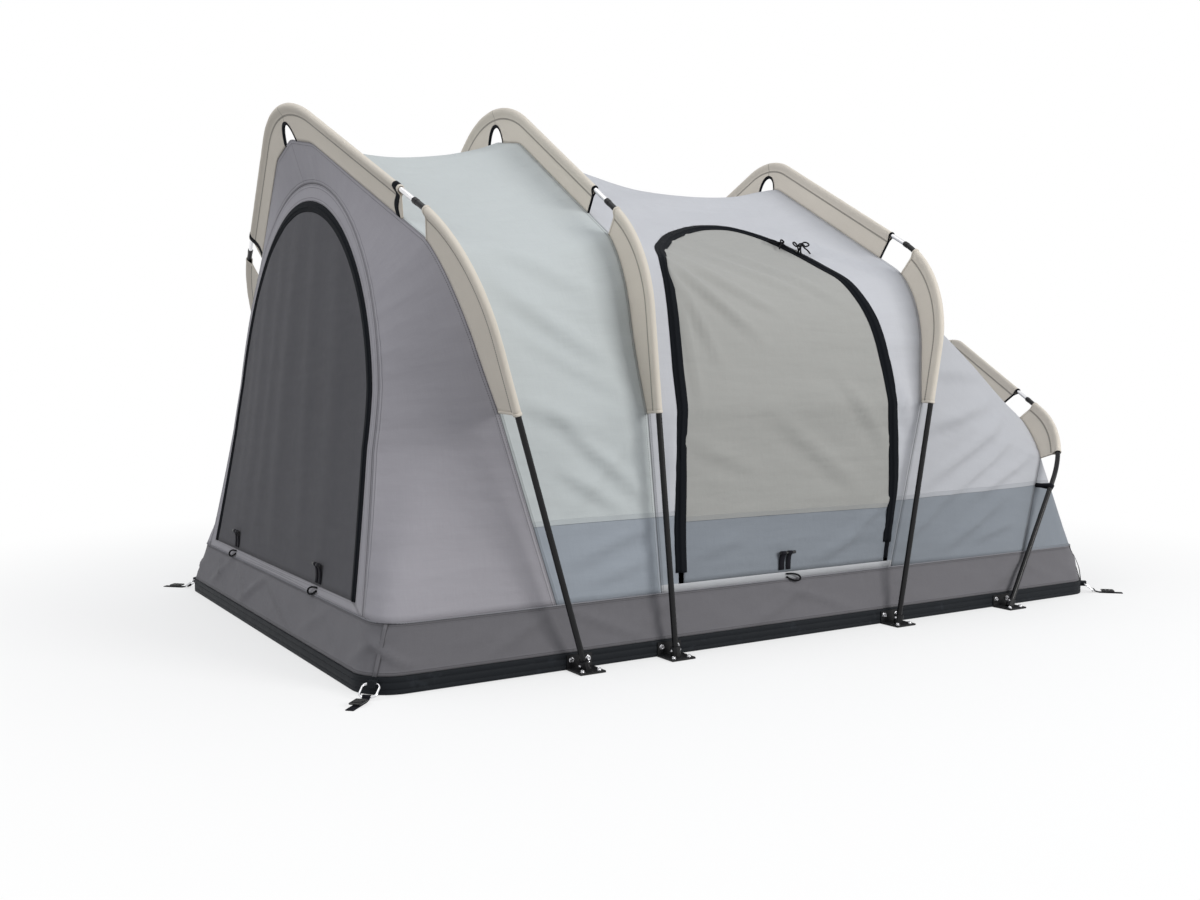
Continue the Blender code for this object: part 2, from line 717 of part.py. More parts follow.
def build_strap(index, place, eye, pivot):
    """Webbing hooked round the ring, down to the ground and out flat, with a ladder buckle on it."""
    half = STRAP_THICK / 2
    low = half + FIT - place.translation.z
    middle = STRAP_EYE - half
    line = []
    for i in range(EYE_STEPS + 1):
        angle = math.radians(EYE_START + EYE_TURN * i / EYE_STEPS)
        line.append((eye.y + middle * math.cos(angle), eye.z + middle * math.sin(angle), half, half))
    bend = eye.y + STRAP_DROP
    high = BUCKLE_THICK - half
    line.append((bend, low, half, half))
    far = BUCKLE_AT + BUCKLE_LENGTH
    steps = [(BUCKLE_AT, half), (BUCKLE_AT + BUCKLE_SLANT, high), (far, high), (far + BUCKLE_SLANT, half)]
    for y, above in steps + [(STRAP_LENGTH, half)]:
        line.append((bend + y, low, above, half))
    edges = (-STRAP_WIDTH / 2, STRAP_WIDTH / 2)
    loops = [[place @ Vector((x, y, z)) for y, z in ribbon(line)] for x in edges]
    add_object(f"tie_strap_{index}", skin_loops(loops), LOOKS["webbing"], origin=pivot)


def build_tub():
    """Cloth tub: sloping walls, a floor, and an open top."""
    half_x = BASE_LENGTH / 2
    half_y = BASE_WIDTH / 2
    levels = [
        (half_x, half_y, BASE_CORNER, TUB_FLOOR),
        (TUB_HALF_LENGTH, TUB_HALF_WIDTH, TUB_CORNER_TOP, TUB_TOP),
        (TUB_HALF_LENGTH - CLOTH, TUB_HALF_WIDTH - CLOTH, TUB_CORNER_TOP - CLOTH, TUB_TOP),
        (half_x - CLOTH, half_y - CLOTH, BASE_CORNER - CLOTH, TUB_FLOOR + CLOTH),
    ]
    loops = []
    for x, y, radius, z in levels:
        loops.append([Vector((px, py, z)) for px, py in rounded_rectangle(x, y, radius, CORNER_STEPS)])
    add_object("tub", skin_loops(loops), LOOKS["tub_cloth"])


def arched_panel(name, edge, look):
    """Curved cloth that fills an arched outline, with rows from side to side."""
    grids = []
    for depth in (0.0, CLOTH):
        line = [edge.facing(point) for point, _ in body_line(HOOPS[0])]
        grid = []
        for (y, z), (far_y, _) in zip(line[:len(line) // 2 + 1], line[::-1]):
            row = [y + (far_y - y) * j / PANEL_COLUMNS for j in range(PANEL_COLUMNS + 1)]
            grid.append([rear_point(column, z, depth) for column in row])
        grids.append(grid)
    return add_object(name, grid_shell(*grids), look)


def build_rear_wall():
    """Rear wall with its window: the wall round the opening, the zip in it and the cloth panel."""
    edges = [REAR_EDGE, WINDOW_EDGE]
    loops = [edges[0].outline(), edges[1].outline(), edges[1].outline(CLOTH), edges[0].outline(CLOTH)]
    add_object("rear_wall", skin_loops(loops, ring=True), LOOKS["end_cloth"])
    tape = [WINDOW_EDGE.inset(gap, WINDOW_SILL + WINDOW_ZIP_FOOT) for gap in (SEAM, ZIP_WIDTH)]
    lines = [tape[0].outline(), tape[1].outline(), tape[1].outline(CLOTH), tape[0].outline(CLOTH)]
    add_object("window_zip", skin_loops(list(zip(*lines))), LOOKS["zip_tape"])
    panel_edge = WINDOW_EDGE.inset(ZIP_WIDTH + SEAM, WINDOW_SILL + SEAM)
    panel = arched_panel("window_panel", panel_edge, LOOKS["window_cloth"])
    set_origin(panel, rear_point(0, WINDOW_SILL + SEAM))


def set_origin(obj, point):
    """Move an object's origin to a point without moving its surface."""
    obj.data.transform(Matrix.Translation(obj.location - point))
    obj.location = point


def meet(p, along_p, q, along_q):
    """Crossing of two lines in a plane."""
    cross = along_p.x * along_q.y - along_p.y * along_q.x
    gap = q - p
    return p + along_p * ((gap.x * along_q.y - gap.y * along_q.x) / cross)


def door_outline(inset, sill):
    """The door's edge as (x, z), from its right foot up, over the top and down to its left foot."""
    corners = [Vector((REAR_END + along, z)) for along, z in DOOR_CORNERS]
    sides = []
    for p, q in zip(corners, corners[1:]):
        along = (q - p).normalized()
        sides.append((p + Vector((-along.y, along.x)) * inset, along))
    level = (Vector((0, sill)), Vector((1, 0)))
    foot, knee, top_right, top_left, far_foot = [
        meet(*first, *second) for first, second in zip([level] + sides, sides + [level])]
    points = [foot, knee]
    points += fillet(knee, top_right, top_left, DOOR_RIGHT_R - inset, DOOR_ARC_STEPS)
    points += fillet(top_right, top_left, far_foot, DOOR_LEFT_R - inset, DOOR_ARC_STEPS)
    points.append(far_foot)
    return [tuple(point) for point in points]


def fillet(before, corner, after, radius, steps):
    """Arc of the given radius in the corner between two straight edges."""
    a = (before - corner).normalized()
    b = (after - corner).normalized()
    half = a.angle(b) / 2
    centre = corner + (a + b).normalized() * (radius / math.sin(half))
    start = corner + a * (radius / math.tan(half)) - centre
    end = corner + b * (radius / math.tan(half)) - centre
    turn = start.angle_signed(end)
    points = []
    for i in range(steps + 1):
        angle = -turn * i / steps
        x = start.x * math.cos(angle) - start.y * math.sin(angle)
        z = start.x * math.sin(angle) + start.y * math.cos(angle)
        points.append((centre.x + x, centre.y + z))
    return points


def door_block(name, outline):
    """Solid that passes through the -Y wall with the given outline."""
    def place(depth):
        return lambda x, z: Vector((x, depth, z))

    return prism(name, outline, place(DOOR_CUT_FROM), place(DOOR_CUT_TO))


def build_middle_bay(rear_hoop, front_hoop, sags):
    """The bay with the door: the wall with its opening, the zip round it and the door panel."""
    outer, inner = bay_grids(front_hoop, rear_hoop, sags, DOOR_BAY_STEPS)
    wall = add_object("bay_middle", grid_shell(outer, inner), LOOKS["bay_cloth"])
    combine(wall, door_block("cut", door_outline(0, DOOR_SILL)), "DIFFERENCE")
    side = len(outer) // 2
    for name, look, gap in (("door_zip", "zip_tape", SEAM), ("door_panel", "door_cloth", ZIP_WIDTH + SEAM)):
        piece = add_object(name, grid_shell(outer[:side], inner[:side]), LOOKS[look])
        combine(piece, door_block("keep", door_outline(gap, DOOR_SILL + SEAM)), "INTERSECT")
        if name == "door_zip":
            combine(piece, door_block("cut", door_outline(ZIP_WIDTH, DOOR_SILL - SEAM)), "DIFFERENCE")
        else:
            low = min(v.co.z for v in piece.data.vertices)
            foot = min(v.co.y for v in piece.data.vertices if v.co.z < low + CLOTH)
            set_origin(piece, Vector((0, foot, low)))


def build_bracket(name, hoop, side):
    """Foot bracket: an angle on the base's edge with a boss that the side pole stands on."""
    half = BRACKET_WIDTH / 2
    face = BASE_WIDTH / 2 + FIT
    inner = face + BRACKET_PLATE
    reach = face + BRACKET_REACH
    profile = [(face, 0), (reach, 0), (reach, BRACKET_PLATE)]
    profile += [(inner, BRACKET_PLATE), (inner, BRACKET_RISE), (face, BRACKET_RISE)]
    loops = [[Vector((hoop.ground_x + x, side * y, z)) for y, z in profile] for x in (-half, half)]
    bracket = add_object(name, skin_loops(loops), LOOKS["bracket"])
    pole = [s for s in hoop_stations(hoop) if s[0] == "foot"][0 if side < 0 else 1]
    ground = hoop.along(side * FOOT_Y, 0)
    up = (pole[1] - ground).normalized()
    toward = pole[2]
    across = up.cross(toward)
    rings = []
    for height in (BRACKET_PLATE / 2, POLE_END - FIT):
        rings.append(ring_section(ground + up * height, toward, across, BOSS_R, BOSS_SIDES))
    combine(bracket, add_object("boss", skin_loops(rings), LOOKS["cutter"]), "UNION")


def build_tab(name, root, tip, outward, width, thick, look):
    """Flat tab from its root edge to a rounded tip. The outline is in shares of its length and width."""
    along = tip - root
    across = outward.cross(along).normalized()
    outline = [(0, -0.5), (0.75, -0.5), (0.93, -0.35), (1.0, 0.0), (0.93, 0.35), (0.75, 0.5), (0, 0.5)]
    loops = []
    for lift in (0, thick):
        loops.append([root + along * u + across * width * v + outward * lift for u, v in outline])
    return add_object(name, skin_loops(loops), look, origin=root)


def door_side():
    """Tree of the middle bay's outer face, to find points on it."""
    outer, _ = bay_grids(HOOPS[2], HOOPS[1], BAY_SAGS[1], DOOR_BAY_STEPS)
    bm = bmesh.new()
    grid = [[bm.verts.new(point) for point in row] for row in outer]
    for a, b in zip(grid, grid[1:]):
        for j in range(len(a) - 1):
            bm.faces.new((a[j], a[j + 1], b[j + 1], b[j]))
    bm.normal_update()
    tree = BVHTree.FromBMesh(bm)
    bm.free()
    return tree


def lie_on_door(tree, x, z, length, width, heading_z):
    """Root, tip and outward direction of a tab laid on the door, a little clear of the cloth all along."""
    start, outward, _, _ = tree.ray_cast(Vector((x, -BASE_WIDTH, z)), Vector((0, 1, 0)))
    if outward.y > 0:
        outward.negate()
    along = (Vector((0, 0, heading_z)) - outward * outward.z * heading_z).normalized()
    rise = 0.0
    for i in range(TAB_SAMPLES + 1):
        for side in (-1, 0, 1):
            place = start + along * length * i / TAB_SAMPLES + Vector((width / 2 * side, 0, 0))
            nearest = tree.find_nearest(place)[0]
            rise = max(rise, (nearest - place).dot(outward))
    root = start + outward * (rise + FIT)
    return root, root + along * length, outward


def build_small_parts():
    """Zip pulls on the door, and the toggles at the foot of the door and the window."""
    tree = door_side()
    for index, (along, z) in enumerate(PULLS_AT, start=1):
        root, tip, outward = lie_on_door(tree, REAR_END + along, z, PULL_LENGTH, PULL_WIDTH, -1)
        build_tab(f"door_zip_pull_{index}", root, tip, outward, PULL_WIDTH, PULL_THICK, LOOKS["cord"])
    foot = DOOR_SILL + SEAM + TOGGLE_RISE
    x = REAR_END + DOOR_TOGGLE_AT
    root, tip, outward = lie_on_door(tree, x, foot, TOGGLE_LENGTH, TOGGLE_WIDTH, 1)
    build_tab("door_toggle", root, tip, outward, TOGGLE_WIDTH, TOGGLE_THICK, LOOKS["toggle"])
    for side, label in ((-1, "near"), (1, "far")):
        ends = []
        for rise in (TOGGLE_RISE, TOGGLE_RISE + TOGGLE_LENGTH):
            ends.append(rear_point(side * WINDOW_TOGGLE_Y, WINDOW_SILL + SEAM + rise, -WINDOW_TOGGLE_LIFT))
        outward = (ends[0] - rear_point(side * WINDOW_TOGGLE_Y, ends[0].z, 1.0)).normalized()
        build_tab(f"window_toggle_{label}", *ends, outward, TOGGLE_WIDTH, TOGGLE_THICK, LOOKS["toggle"])


LOOKS = {}
REAR_EDGE = Arch(REAR_FOOT_HALF, REAR_SPRING_HALF, BODY_FOOT, REAR_TOP)
WINDOW_EDGE = Arch(WINDOW_FOOT_HALF, WINDOW_SPRING_HALF, WINDOW_SILL, WINDOW_TOP)


def make_looks():
    table = [
        ("base", (0.02, 0.02, 0.022), 0.6, 0.0),
        ("tub_cloth", (0.175, 0.17, 0.185), 0.85, 0.0),
        ("end_cloth", (0.29, 0.28, 0.32), 0.85, 0.0),
        ("bay_cloth", (0.56, 0.57, 0.60), 0.85, 0.0),
        ("door_cloth", (0.38, 0.38, 0.37), 0.9, 0.0),
        ("window_cloth", (0.08, 0.08, 0.085), 0.8, 0.0),
        ("zip_tape", (0.012, 0.012, 0.013), 0.6, 0.0),
        ("sleeve_cloth", (0.44, 0.40, 0.35), 0.85, 0.0),
        ("dark_pole", (0.015, 0.015, 0.017), 0.3, 0.6),
        ("bright_pole", (0.80, 0.80, 0.82), 0.2, 1.0),
        ("bright_wire", (0.75, 0.75, 0.77), 0.15, 1.0),
        ("bracket", (0.02, 0.02, 0.02), 0.5, 0.3),
        ("webbing", (0.015, 0.015, 0.018), 0.8, 0.0),
        ("toggle", (0.012, 0.012, 0.013), 0.5, 0.0),
        ("cord", (0.012, 0.012, 0.012), 0.8, 0.0),
        ("cutter", (0.5, 0.1, 0.1), 0.5, 0.0),
    ]
    for name, colour, roughness, metallic in table:
        LOOKS[name] = material(name, colour, roughness, metallic)


def main():
    for obj in list(bpy.data.objects):
        bpy.data.objects.remove(obj)
    make_looks()
    build_base()
    build_tub()
    build_rear_wall()
    build_rear_gusset(LOOKS["end_cloth"])
    build_bay("bay_rear", HOOPS[0], HOOPS[1], BAY_SAGS[0], BAY_STEPS, LOOKS["bay_cloth"])
    build_middle_bay(HOOPS[1], HOOPS[2], BAY_SAGS[1])
    build_bay("bay_front", HOOPS[2], HOOPS[3], BAY_SAGS[2], BAY_STEPS, LOOKS["bay_cloth"])
    build_front_wall(LOOKS["bay_cloth"])
    for hoop in HOOPS:
        build_hoop(hoop)
        for side, label in ((-1, "door"), (1, "far")):
            build_bracket(f"foot_bracket_{hoop.number}_{label}", hoop, side)
    for index, place in enumerate(corner_places(), start=1):
        build_corner(index, place)
    build_small_parts()


main()
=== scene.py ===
"""Roof top tent: a flat base with a sewn tub, a cloth body, and four pole hoops that carry it from outside.

Metres, +Z up. The origin is the middle of the base's underside, +X runs to the low end, and the door is in
the -Y side. Cloth walls are grids between two hoops' seam lines. A place along a seam line is a mark: 0 at
the tub on the door side, 2 at the side sleeve's low end, 8 and 9 at the pole joint, 12 at the apex, and
the same back to 24 at the tub on the far side.
"""
import math

import bmesh
import bpy
from mathutils import Matrix, Vector, noise
from mathutils.bvhtree import BVHTree


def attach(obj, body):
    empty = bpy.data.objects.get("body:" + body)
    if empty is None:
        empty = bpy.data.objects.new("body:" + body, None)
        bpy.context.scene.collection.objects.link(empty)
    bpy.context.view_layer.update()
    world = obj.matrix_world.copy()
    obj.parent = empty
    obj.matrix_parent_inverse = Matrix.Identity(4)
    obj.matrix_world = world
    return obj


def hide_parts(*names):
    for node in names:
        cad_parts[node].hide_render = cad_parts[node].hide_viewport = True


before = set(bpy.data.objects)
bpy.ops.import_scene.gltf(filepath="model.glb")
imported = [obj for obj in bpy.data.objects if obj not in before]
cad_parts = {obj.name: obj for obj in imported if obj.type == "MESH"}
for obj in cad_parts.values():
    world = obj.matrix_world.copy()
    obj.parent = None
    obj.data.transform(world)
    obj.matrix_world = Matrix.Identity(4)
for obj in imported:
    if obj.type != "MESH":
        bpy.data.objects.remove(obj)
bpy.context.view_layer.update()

# Base and tub
BASE_LENGTH = 2.13
BASE_WIDTH = 1.42
BASE_CORNER = 0.08
TUB_FLOOR = 0.0353
TUB_TOP = 0.1333
BODY_FOOT = 0.1336
TUB_HALF_LENGTH = 1.031
TUB_HALF_WIDTH = 0.692
TUB_CORNER_TOP = 0.07
FOOT_Y = 0.74
SIDES = ((-1, "door"), (1, "far"))
UP = Vector((0, 0, 1))

# Steps of a plan outline's arcs and straights, and of the tub's cloth
PLAN_ARC = 10
PLAN_STRAIGHTS = (90, 60, 90, 60)
TUB_LEVELS = 16
FLOOR_ROWS = 60
FLOOR_COLUMNS = 40

# Pole hoops
SIDE_POLE_R = 0.0065
BOW_R = 0.0055
FERRULE_SHOWN = 0.056
COLLAR_SHOWN = 0.047
POLE_END = 0.024
SLEEVE_EASE = 0.0018
SLEEVE_STEP = 0.011
SLEEVE_FACE_STEPS = 8
TAPE_LIFT = 0.0010
FIN_HALF = 0.0013
FIN_ROOT = 0.020
HOLE_TOP = 0.037
HOLE_HALF = 0.055
HOLE_CURVE = 2.1

# Marks along a seam line, with the number of grid steps between each and the next
MARK_STEPS = [14, 14, 5, 5, 5, 5, 5, 5, 7, 10, 10, 10]
LAST_MARK = 24
BAY_SAGS = [(0.035, 0.010), (0.072, 0.014), (0.040, 0.010)]
SAG_BEGINS = 0.55
SAG_FULL = 1.00
SIDE_SAG_RISE = 0.30
BAY_BILLOW = 0.0060
DOOR_BAY_COLUMNS = 60
DOOR_BAY_SEED = 9.0

# End walls
GUSSET_FLAT_RISE = 0.40
TURN_MOST = 0.95
REAR_LEAN = 0.10
REAR_BOW = 0.10
REAR_BOW_RISE = 0.45
REAR_FOOT_HALF = 0.597
REAR_SPRING_HALF = 0.527
REAR_SPRING = 0.46
REAR_TOP = 1.062
WINDOW_FOOT_HALF = 0.548
WINDOW_SPRING_HALF = 0.500
WINDOW_SILL = 0.155
WINDOW_TOP = 1.020
ZIP_WIDTH = 0.022
ZIP_THICK = 0.0008
SILL_STEPS = 60
ARCH_COLUMNS = 8
WINDOW_COLUMNS = 48
REAR_CORNER_COLUMNS = 34
FRONT_WALL_COLUMNS = 30

# Middle line of the door's zip, as (x, z) from the right foot over the top to the left foot
DOOR_SILL = 0.150
DOOR_LINE = [(0.287, 0.150), (0.293, 0.225), (0.298, 0.300), (0.296, 0.380), (0.292, 0.449), (0.285, 0.584),
             (0.279, 0.694), (0.271, 0.781), (0.256, 0.862), (0.238, 0.922), (0.212, 0.960), (0.174, 0.986),
             (0.121, 0.998), (0.047, 0.994), (-0.024, 0.980), (-0.108, 0.956), (-0.190, 0.925),
             (-0.240, 0.902), (-0.268, 0.868), (-0.280, 0.810), (-0.291, 0.711), (-0.303, 0.590),
             (-0.313, 0.466), (-0.319, 0.320), (-0.324, 0.230), (-0.327, 0.150)]
DOOR_LINE_STEP = 0.008
DOOR_ZIP_ENDS = (0.196, 0.174)
DOOR_OUT = Vector((0, -1, 0))
DOOR_BLOCK = (-1.2, -0.18)
DOOR_FLAT = (0.61, 0.90)
DOOR_OPENING_AREA = 0.46

# Toggles, zip pulls and ties
TOGGLE_HEIGHT = 0.044
TOGGLE_RISE = 0.006
TOGGLE_BAR = 0.046
TOGGLE_BAR_R = 0.0038
DOOR_TOGGLE_X = -0.033
WINDOW_TOGGLE_Y = 0.325
DOOR_PULLS = [(0.219, 0.950), (0.236, 0.925)]
REAR_TIE_X = -0.985
REAR_TIE_Y = 0.655
REAR_TIE_Z = 0.335

# Cloth: thickness, gap at a seam, length of a stitch, how much the listed folds are enlarged, the width over
# which folds die out towards a seam, and the height of the line that the body's outer side faces away from
CLOTH = 0.0009
SEAM = 0.0004
STITCH = 0.0042
FOLD_SIZE = 2.5
CALM_EDGE = 0.05
MIDDLE_HEIGHT = 0.45

# Heights at which a cloth's colour changes
SEAM_HEIGHT = 0.300
DOOR_SEAM_HEIGHT = 0.285
SILL_HEIGHT = 0.151

# Distance between the bands of a wave pattern of scale 1
WAVE_PERIOD = 0.314


class Hoop:
    """One pole hoop, drawn in its own raked plane: y across the tent, s up along the plane."""

    def __init__(self, number, ground_x, rake, apex, slope, lean, shoulder, crown, pole, bare, fins):
        self.number = number
        self.ground_x = ground_x
        self.rake = math.radians(rake)
        self.slope = math.radians(slope)
        self.lean = math.radians(lean)
        self.shoulder = shoulder
        self.crown = crown
        self.pole = pole
        self.bare = bare
        self.fins = fins
        self.roof = math.pi / 2 - self.slope
        up_leg, in_leg = heading(self.lean)
        up_roof = heading(self.roof)[0]
        fall = math.tan(self.slope)
        roof_height = apex + crown * (1 / math.cos(self.slope) - 1)
        corner_s = (roof_height - FOOT_Y * fall) / (1 - math.tan(self.lean) * fall)
        corner = Vector((FOOT_Y - corner_s * math.tan(self.lean), corner_s))
        reach = shoulder * math.tan((self.roof - self.lean) / 2)
        self.leg = corner_s / math.cos(self.lean) - reach
        self.bend_centre = corner - up_leg * reach + in_leg * shoulder
        self.bend = shoulder * (self.roof - self.lean)
        self.roof_foot = corner + up_roof * reach
        self.crown_centre = Vector((0, apex - crown))
        crown_foot = self.crown_centre - heading(self.roof)[1] * crown
        self.straight = (crown_foot - self.roof_foot).length
        self.length = self.leg + self.bend + self.straight + crown * self.slope
        self.low = pole - COLLAR_SHOWN
        self.high = pole + FERRULE_SHOWN
        self.crown_start = self.length - crown * self.slope
        middle = (self.high + self.crown_start) / 2
        self.marks = [bare + (self.low - bare) * i / 6 for i in range(7)]
        self.marks += [self.high, middle, self.crown_start, self.length]
        place, inward = self.at(self.crown_start)
        self.eaves = place + inward * fins[2]
        self.peak = Vector((0, apex - fins[3]))

    def across(self):
        """The plane's normal, towards the low end."""
        return Vector((math.cos(self.rake), 0, -math.sin(self.rake)))

    def turned(self, y, s):
        """A direction of the plane in the tent's frame."""
        return Vector((s * math.sin(self.rake), y, s * math.cos(self.rake)))

    def at(self, distance):
        """Pole centre and the way in to the body, as (y, s) on the +Y half, that far up from the ground."""
        if distance <= self.leg:
            up, inward = heading(self.lean)
            return Vector((FOOT_Y, 0)) + up * distance, inward
        distance -= self.leg
        if distance <= self.bend:
            inward = heading(self.lean + distance / self.shoulder)[1]
            return self.bend_centre - inward * self.shoulder, inward
        distance -= self.bend
        if distance <= self.straight:
            up, inward = heading(self.roof)
            return self.roof_foot + up * distance, inward
        inward = heading(self.roof + (distance - self.straight) / self.crown)[1]
        return self.crown_centre - inward * self.crown, inward

    def pole_at(self, distance):
        """Pole centre and the way in, in the tent's frame; past the apex it runs down the far side."""
        side = -1
        if distance > self.length:
            distance = 2 * self.length - distance
            side = 1
        return self.in_tent(side, *self.at(distance))

    def in_tent(self, side, place, inward):
        """A place of the +Y half and the way in, in the tent's frame, on the side asked for."""
        return (Vector((self.ground_x, 0, 0)) + self.turned(side * place.x, place.y),
                self.turned(side * inward.x, inward.y))

    def up_from(self, distance, side):
        """Distance from the door side's foot of the place that far up from the foot of a side."""
        return distance if side < 0 else 2 * self.length - distance

    def bare_fin(self, distance):
        """Depth of the sleeve's fin, before its changes are eased."""
        leg, bend, roof = self.fins[:3]
        if distance > self.length:
            distance = 2 * self.length - distance
        if distance <= self.low:
            share = max((distance - self.bare) / (self.low - self.bare), 0.0)
            return leg + (roof - leg) * share + bend * math.sin(math.pi * share)
        if distance <= self.crown_start:
            return roof
        chord = self.peak - self.eaves
        place, inward = self.at(distance)
        gap = self.eaves - place
        return (gap.x * chord.y - gap.y * chord.x) / (inward.x * chord.y - inward.y * chord.x)

    def fin(self, distance):
        """Depth of the sleeve's fin, from the pole's centre to the body.

        Near the apex it ends on the straight line from the roof to the peak."""
        near = [self.bare_fin(distance + step * 0.008) for step in (-2, -1, 0, 1, 2)]
        return sum(near) / len(near)

    def distance_of(self, mark):
        """Distance up the pole of a mark from 2 to 12."""
        index = min(int(mark) - 2, len(self.marks) - 2)
        low, high = self.marks[index], self.marks[index + 1]
        return low + (high - low) * (mark - 2 - index)

    def seam(self, mark):
        """Where the body meets the hoop's plane, and the way in, at a mark."""
        side = -1
        if mark > LAST_MARK / 2:
            mark = LAST_MARK - mark
            side = 1
        distance = self.distance_of(max(mark, 2.0))
        place, inward = self.at(distance)
        place = place + inward * self.fin(distance)
        if mark < 2:
            foot = Vector((TUB_HALF_WIDTH, BODY_FOOT / math.cos(self.rake)))
            place = foot.lerp(place, mark / 2)
            inward = Vector((-1, 0)).lerp(inward, mark / 2).normalized()
        return self.in_tent(side, place, inward)


def heading(angle):
    """Direction up the pole and direction in to the body, as (y, s) on the +Y half."""
    return Vector((-math.sin(angle), math.cos(angle))), Vector((-math.cos(angle), -math.sin(angle)))


# Foot's x, rake, apex height, roof slope, leg lean, shoulder and crown radius, side pole length, its bare
# length below the sleeve, and the fin's depth at the sleeve's low end, round the bend, on the roof and at
# the apex
HOOPS = [
    Hoop(1, -0.6015, -17.55, 1.297, 30.3, -2.6, 0.316, 0.330, 1.083, 0.559, (0.077, 0.034, 0.066, 0.073)),
    Hoop(2, -0.3745, -2.5, 1.288, 33.2, 3.65, 0.291, 0.300, 1.066, 0.531, (0.042, 0.032, 0.059, 0.076)),
    Hoop(3, 0.286, 9.1, 1.244, 27.6, -1.5, 0.300, 0.180, 1.017, 0.547, (0.028, 0.018, 0.065, 0.075)),
    Hoop(4, 0.687, 39.2, 0.922, 29.95, 10.4, 0.358, 0.085, 0.798, 0.515, (0.051, 0.010, 0.055, 0.062)),
]


def seam_marks():
    """All the marks of a seam line's grid rows, from tub to tub."""
    marks = []
    for index, steps in enumerate(MARK_STEPS):
        marks += [index + i / steps for i in range(steps)]
    return marks + [LAST_MARK / 2] + [LAST_MARK - mark for mark in marks[::-1]]


MARKS = seam_marks()


# Finishes

class Finish:
    """A material's nodes, added one by one and joined to the ones before."""

    def __init__(self, name, colour, roughness, metallic=0.0, **constants):
        self.material = bpy.data.materials.new(name)
        self.material.use_nodes = True
        self.tree = self.material.node_tree
        self.shader = self.tree.nodes["Principled BSDF"]
        self.shader.inputs["Base Color"].default_value = (*colour, 1.0)
        self.shader.inputs["Roughness"].default_value = roughness
        self.shader.inputs["Metallic"].default_value = metallic
        for socket, value in constants.items():
            self.shader.inputs[socket.replace("_", " ")].default_value = value
        self.height = None

    def add(self, kind, settings=None, **links):
        node = self.tree.nodes.new("ShaderNode" + kind)
        for key, value in (settings or {}).items():
            if hasattr(node, key):
                setattr(node, key, value)
            else:
                node.inputs[key].default_value = value
        for socket, source in links.items():
            self.join(source, node.inputs[socket])
        return node.outputs[0]

    def join(self, source, target):
        """Give a socket a colour, a number or another node's output."""
        if isinstance(source, tuple):
            target.default_value = (*source, 1.0)
        elif isinstance(source, (int, float)):
            target.default_value = source
        else:
            self.tree.links.new(source, target)

    def math(self, operation, a, b=0.0):
        node = self.tree.nodes.new("ShaderNodeMath")
        node.operation = operation
        for socket, source in zip(node.inputs, (a, b)):
            self.join(source, socket)
        return node.outputs[0]

    def times(self, a, b):
        return self.math("MULTIPLY", a, b)

    def place(self):
        return self.tree.nodes.new("ShaderNodeTexCoord").outputs["Object"]

    def uv(self, name):
        node = self.tree.nodes.new("ShaderNodeUVMap")
        node.uv_map = name
        return node.outputs[0]

    def parts(self, vector):
        node = self.tree.nodes.new("ShaderNodeSeparateXYZ")
        self.tree.links.new(vector, node.inputs[0])
        return node.outputs

    def stretch(self, vector, scale, turn=0.0):
        return self.add("Mapping", {"Scale": scale, "Rotation": (0, 0, turn)}, Vector=vector)

    def noise(self, vector, scale, detail=2.0, roughness=0.5):
        settings = {"Scale": scale, "Detail": detail, "Roughness": roughness}
        return self.add("TexNoise", settings, Vector=vector)

    def ribs(self, vector, direction, pitch, distortion, detail=2.0):
        """Waves that pitch apart, in metres."""
        settings = {"bands_direction": direction, "Scale": WAVE_PERIOD / pitch, "Distortion": distortion,
                    "Detail": detail}
        return self.add("TexWave", settings, Vector=vector)

    def band(self, value, middle, half, soft):
        """1 within half of the middle, falling to 0 over the soft width."""
        away = self.math("ABSOLUTE", self.math("SUBTRACT", value, middle))
        return self.ramp(away, half + soft, half)

    def ramp(self, value, zero_at, one_at):
        """0 to 1 as the value goes from the one to the other."""
        settings = {"From Min": zero_at, "From Max": one_at, "clamp": True}
        return self.add("MapRange", settings, Value=value)

    def below(self, height, level):
        """1 below the level and 0 above it."""
        return self.ramp(height, level + 0.0006, level - 0.0006)

    def tint(self, factor, first, second):
        """First colour where the factor is 0 and second where it is 1."""
        node = self.tree.nodes.new("ShaderNodeMix")
        node.data_type = "RGBA"
        for index, source in ((0, factor), (6, first), (7, second)):
            self.join(source, node.inputs[index])
        return node.outputs[2]

    def darkened(self, colour, value, share):
        """The colour, with its value taken down to that part where the share is 1."""
        dark = self.add("HueSaturation", {"Value": value}, Color=colour)
        return self.tint(share, colour, dark)

    def paint(self, colour):
        self.tree.links.new(colour, self.shader.inputs["Base Color"])

    def rough(self, low, high, value):
        """Roughness from the one to the other as the value goes from 0 to 1."""
        between = self.add("MapRange", {"To Min": low, "To Max": high}, Value=value)
        self.tree.links.new(between, self.shader.inputs["Roughness"])

    def raise_by(self, height, distance, strength):
        """Bump, on top of the bumps before."""
        node = self.tree.nodes.new("ShaderNodeBump")
        node.inputs["Strength"].default_value = strength
        node.inputs["Distance"].default_value = distance
        self.tree.links.new(height, node.inputs["Height"])
        if self.height:
            self.tree.links.new(self.height, node.inputs["Normal"])
        self.height = node.outputs[0]
        self.tree.links.new(self.height, self.shader.inputs["Normal"])


def scaled(colour, share):
    return tuple(channel * share for channel in colour)


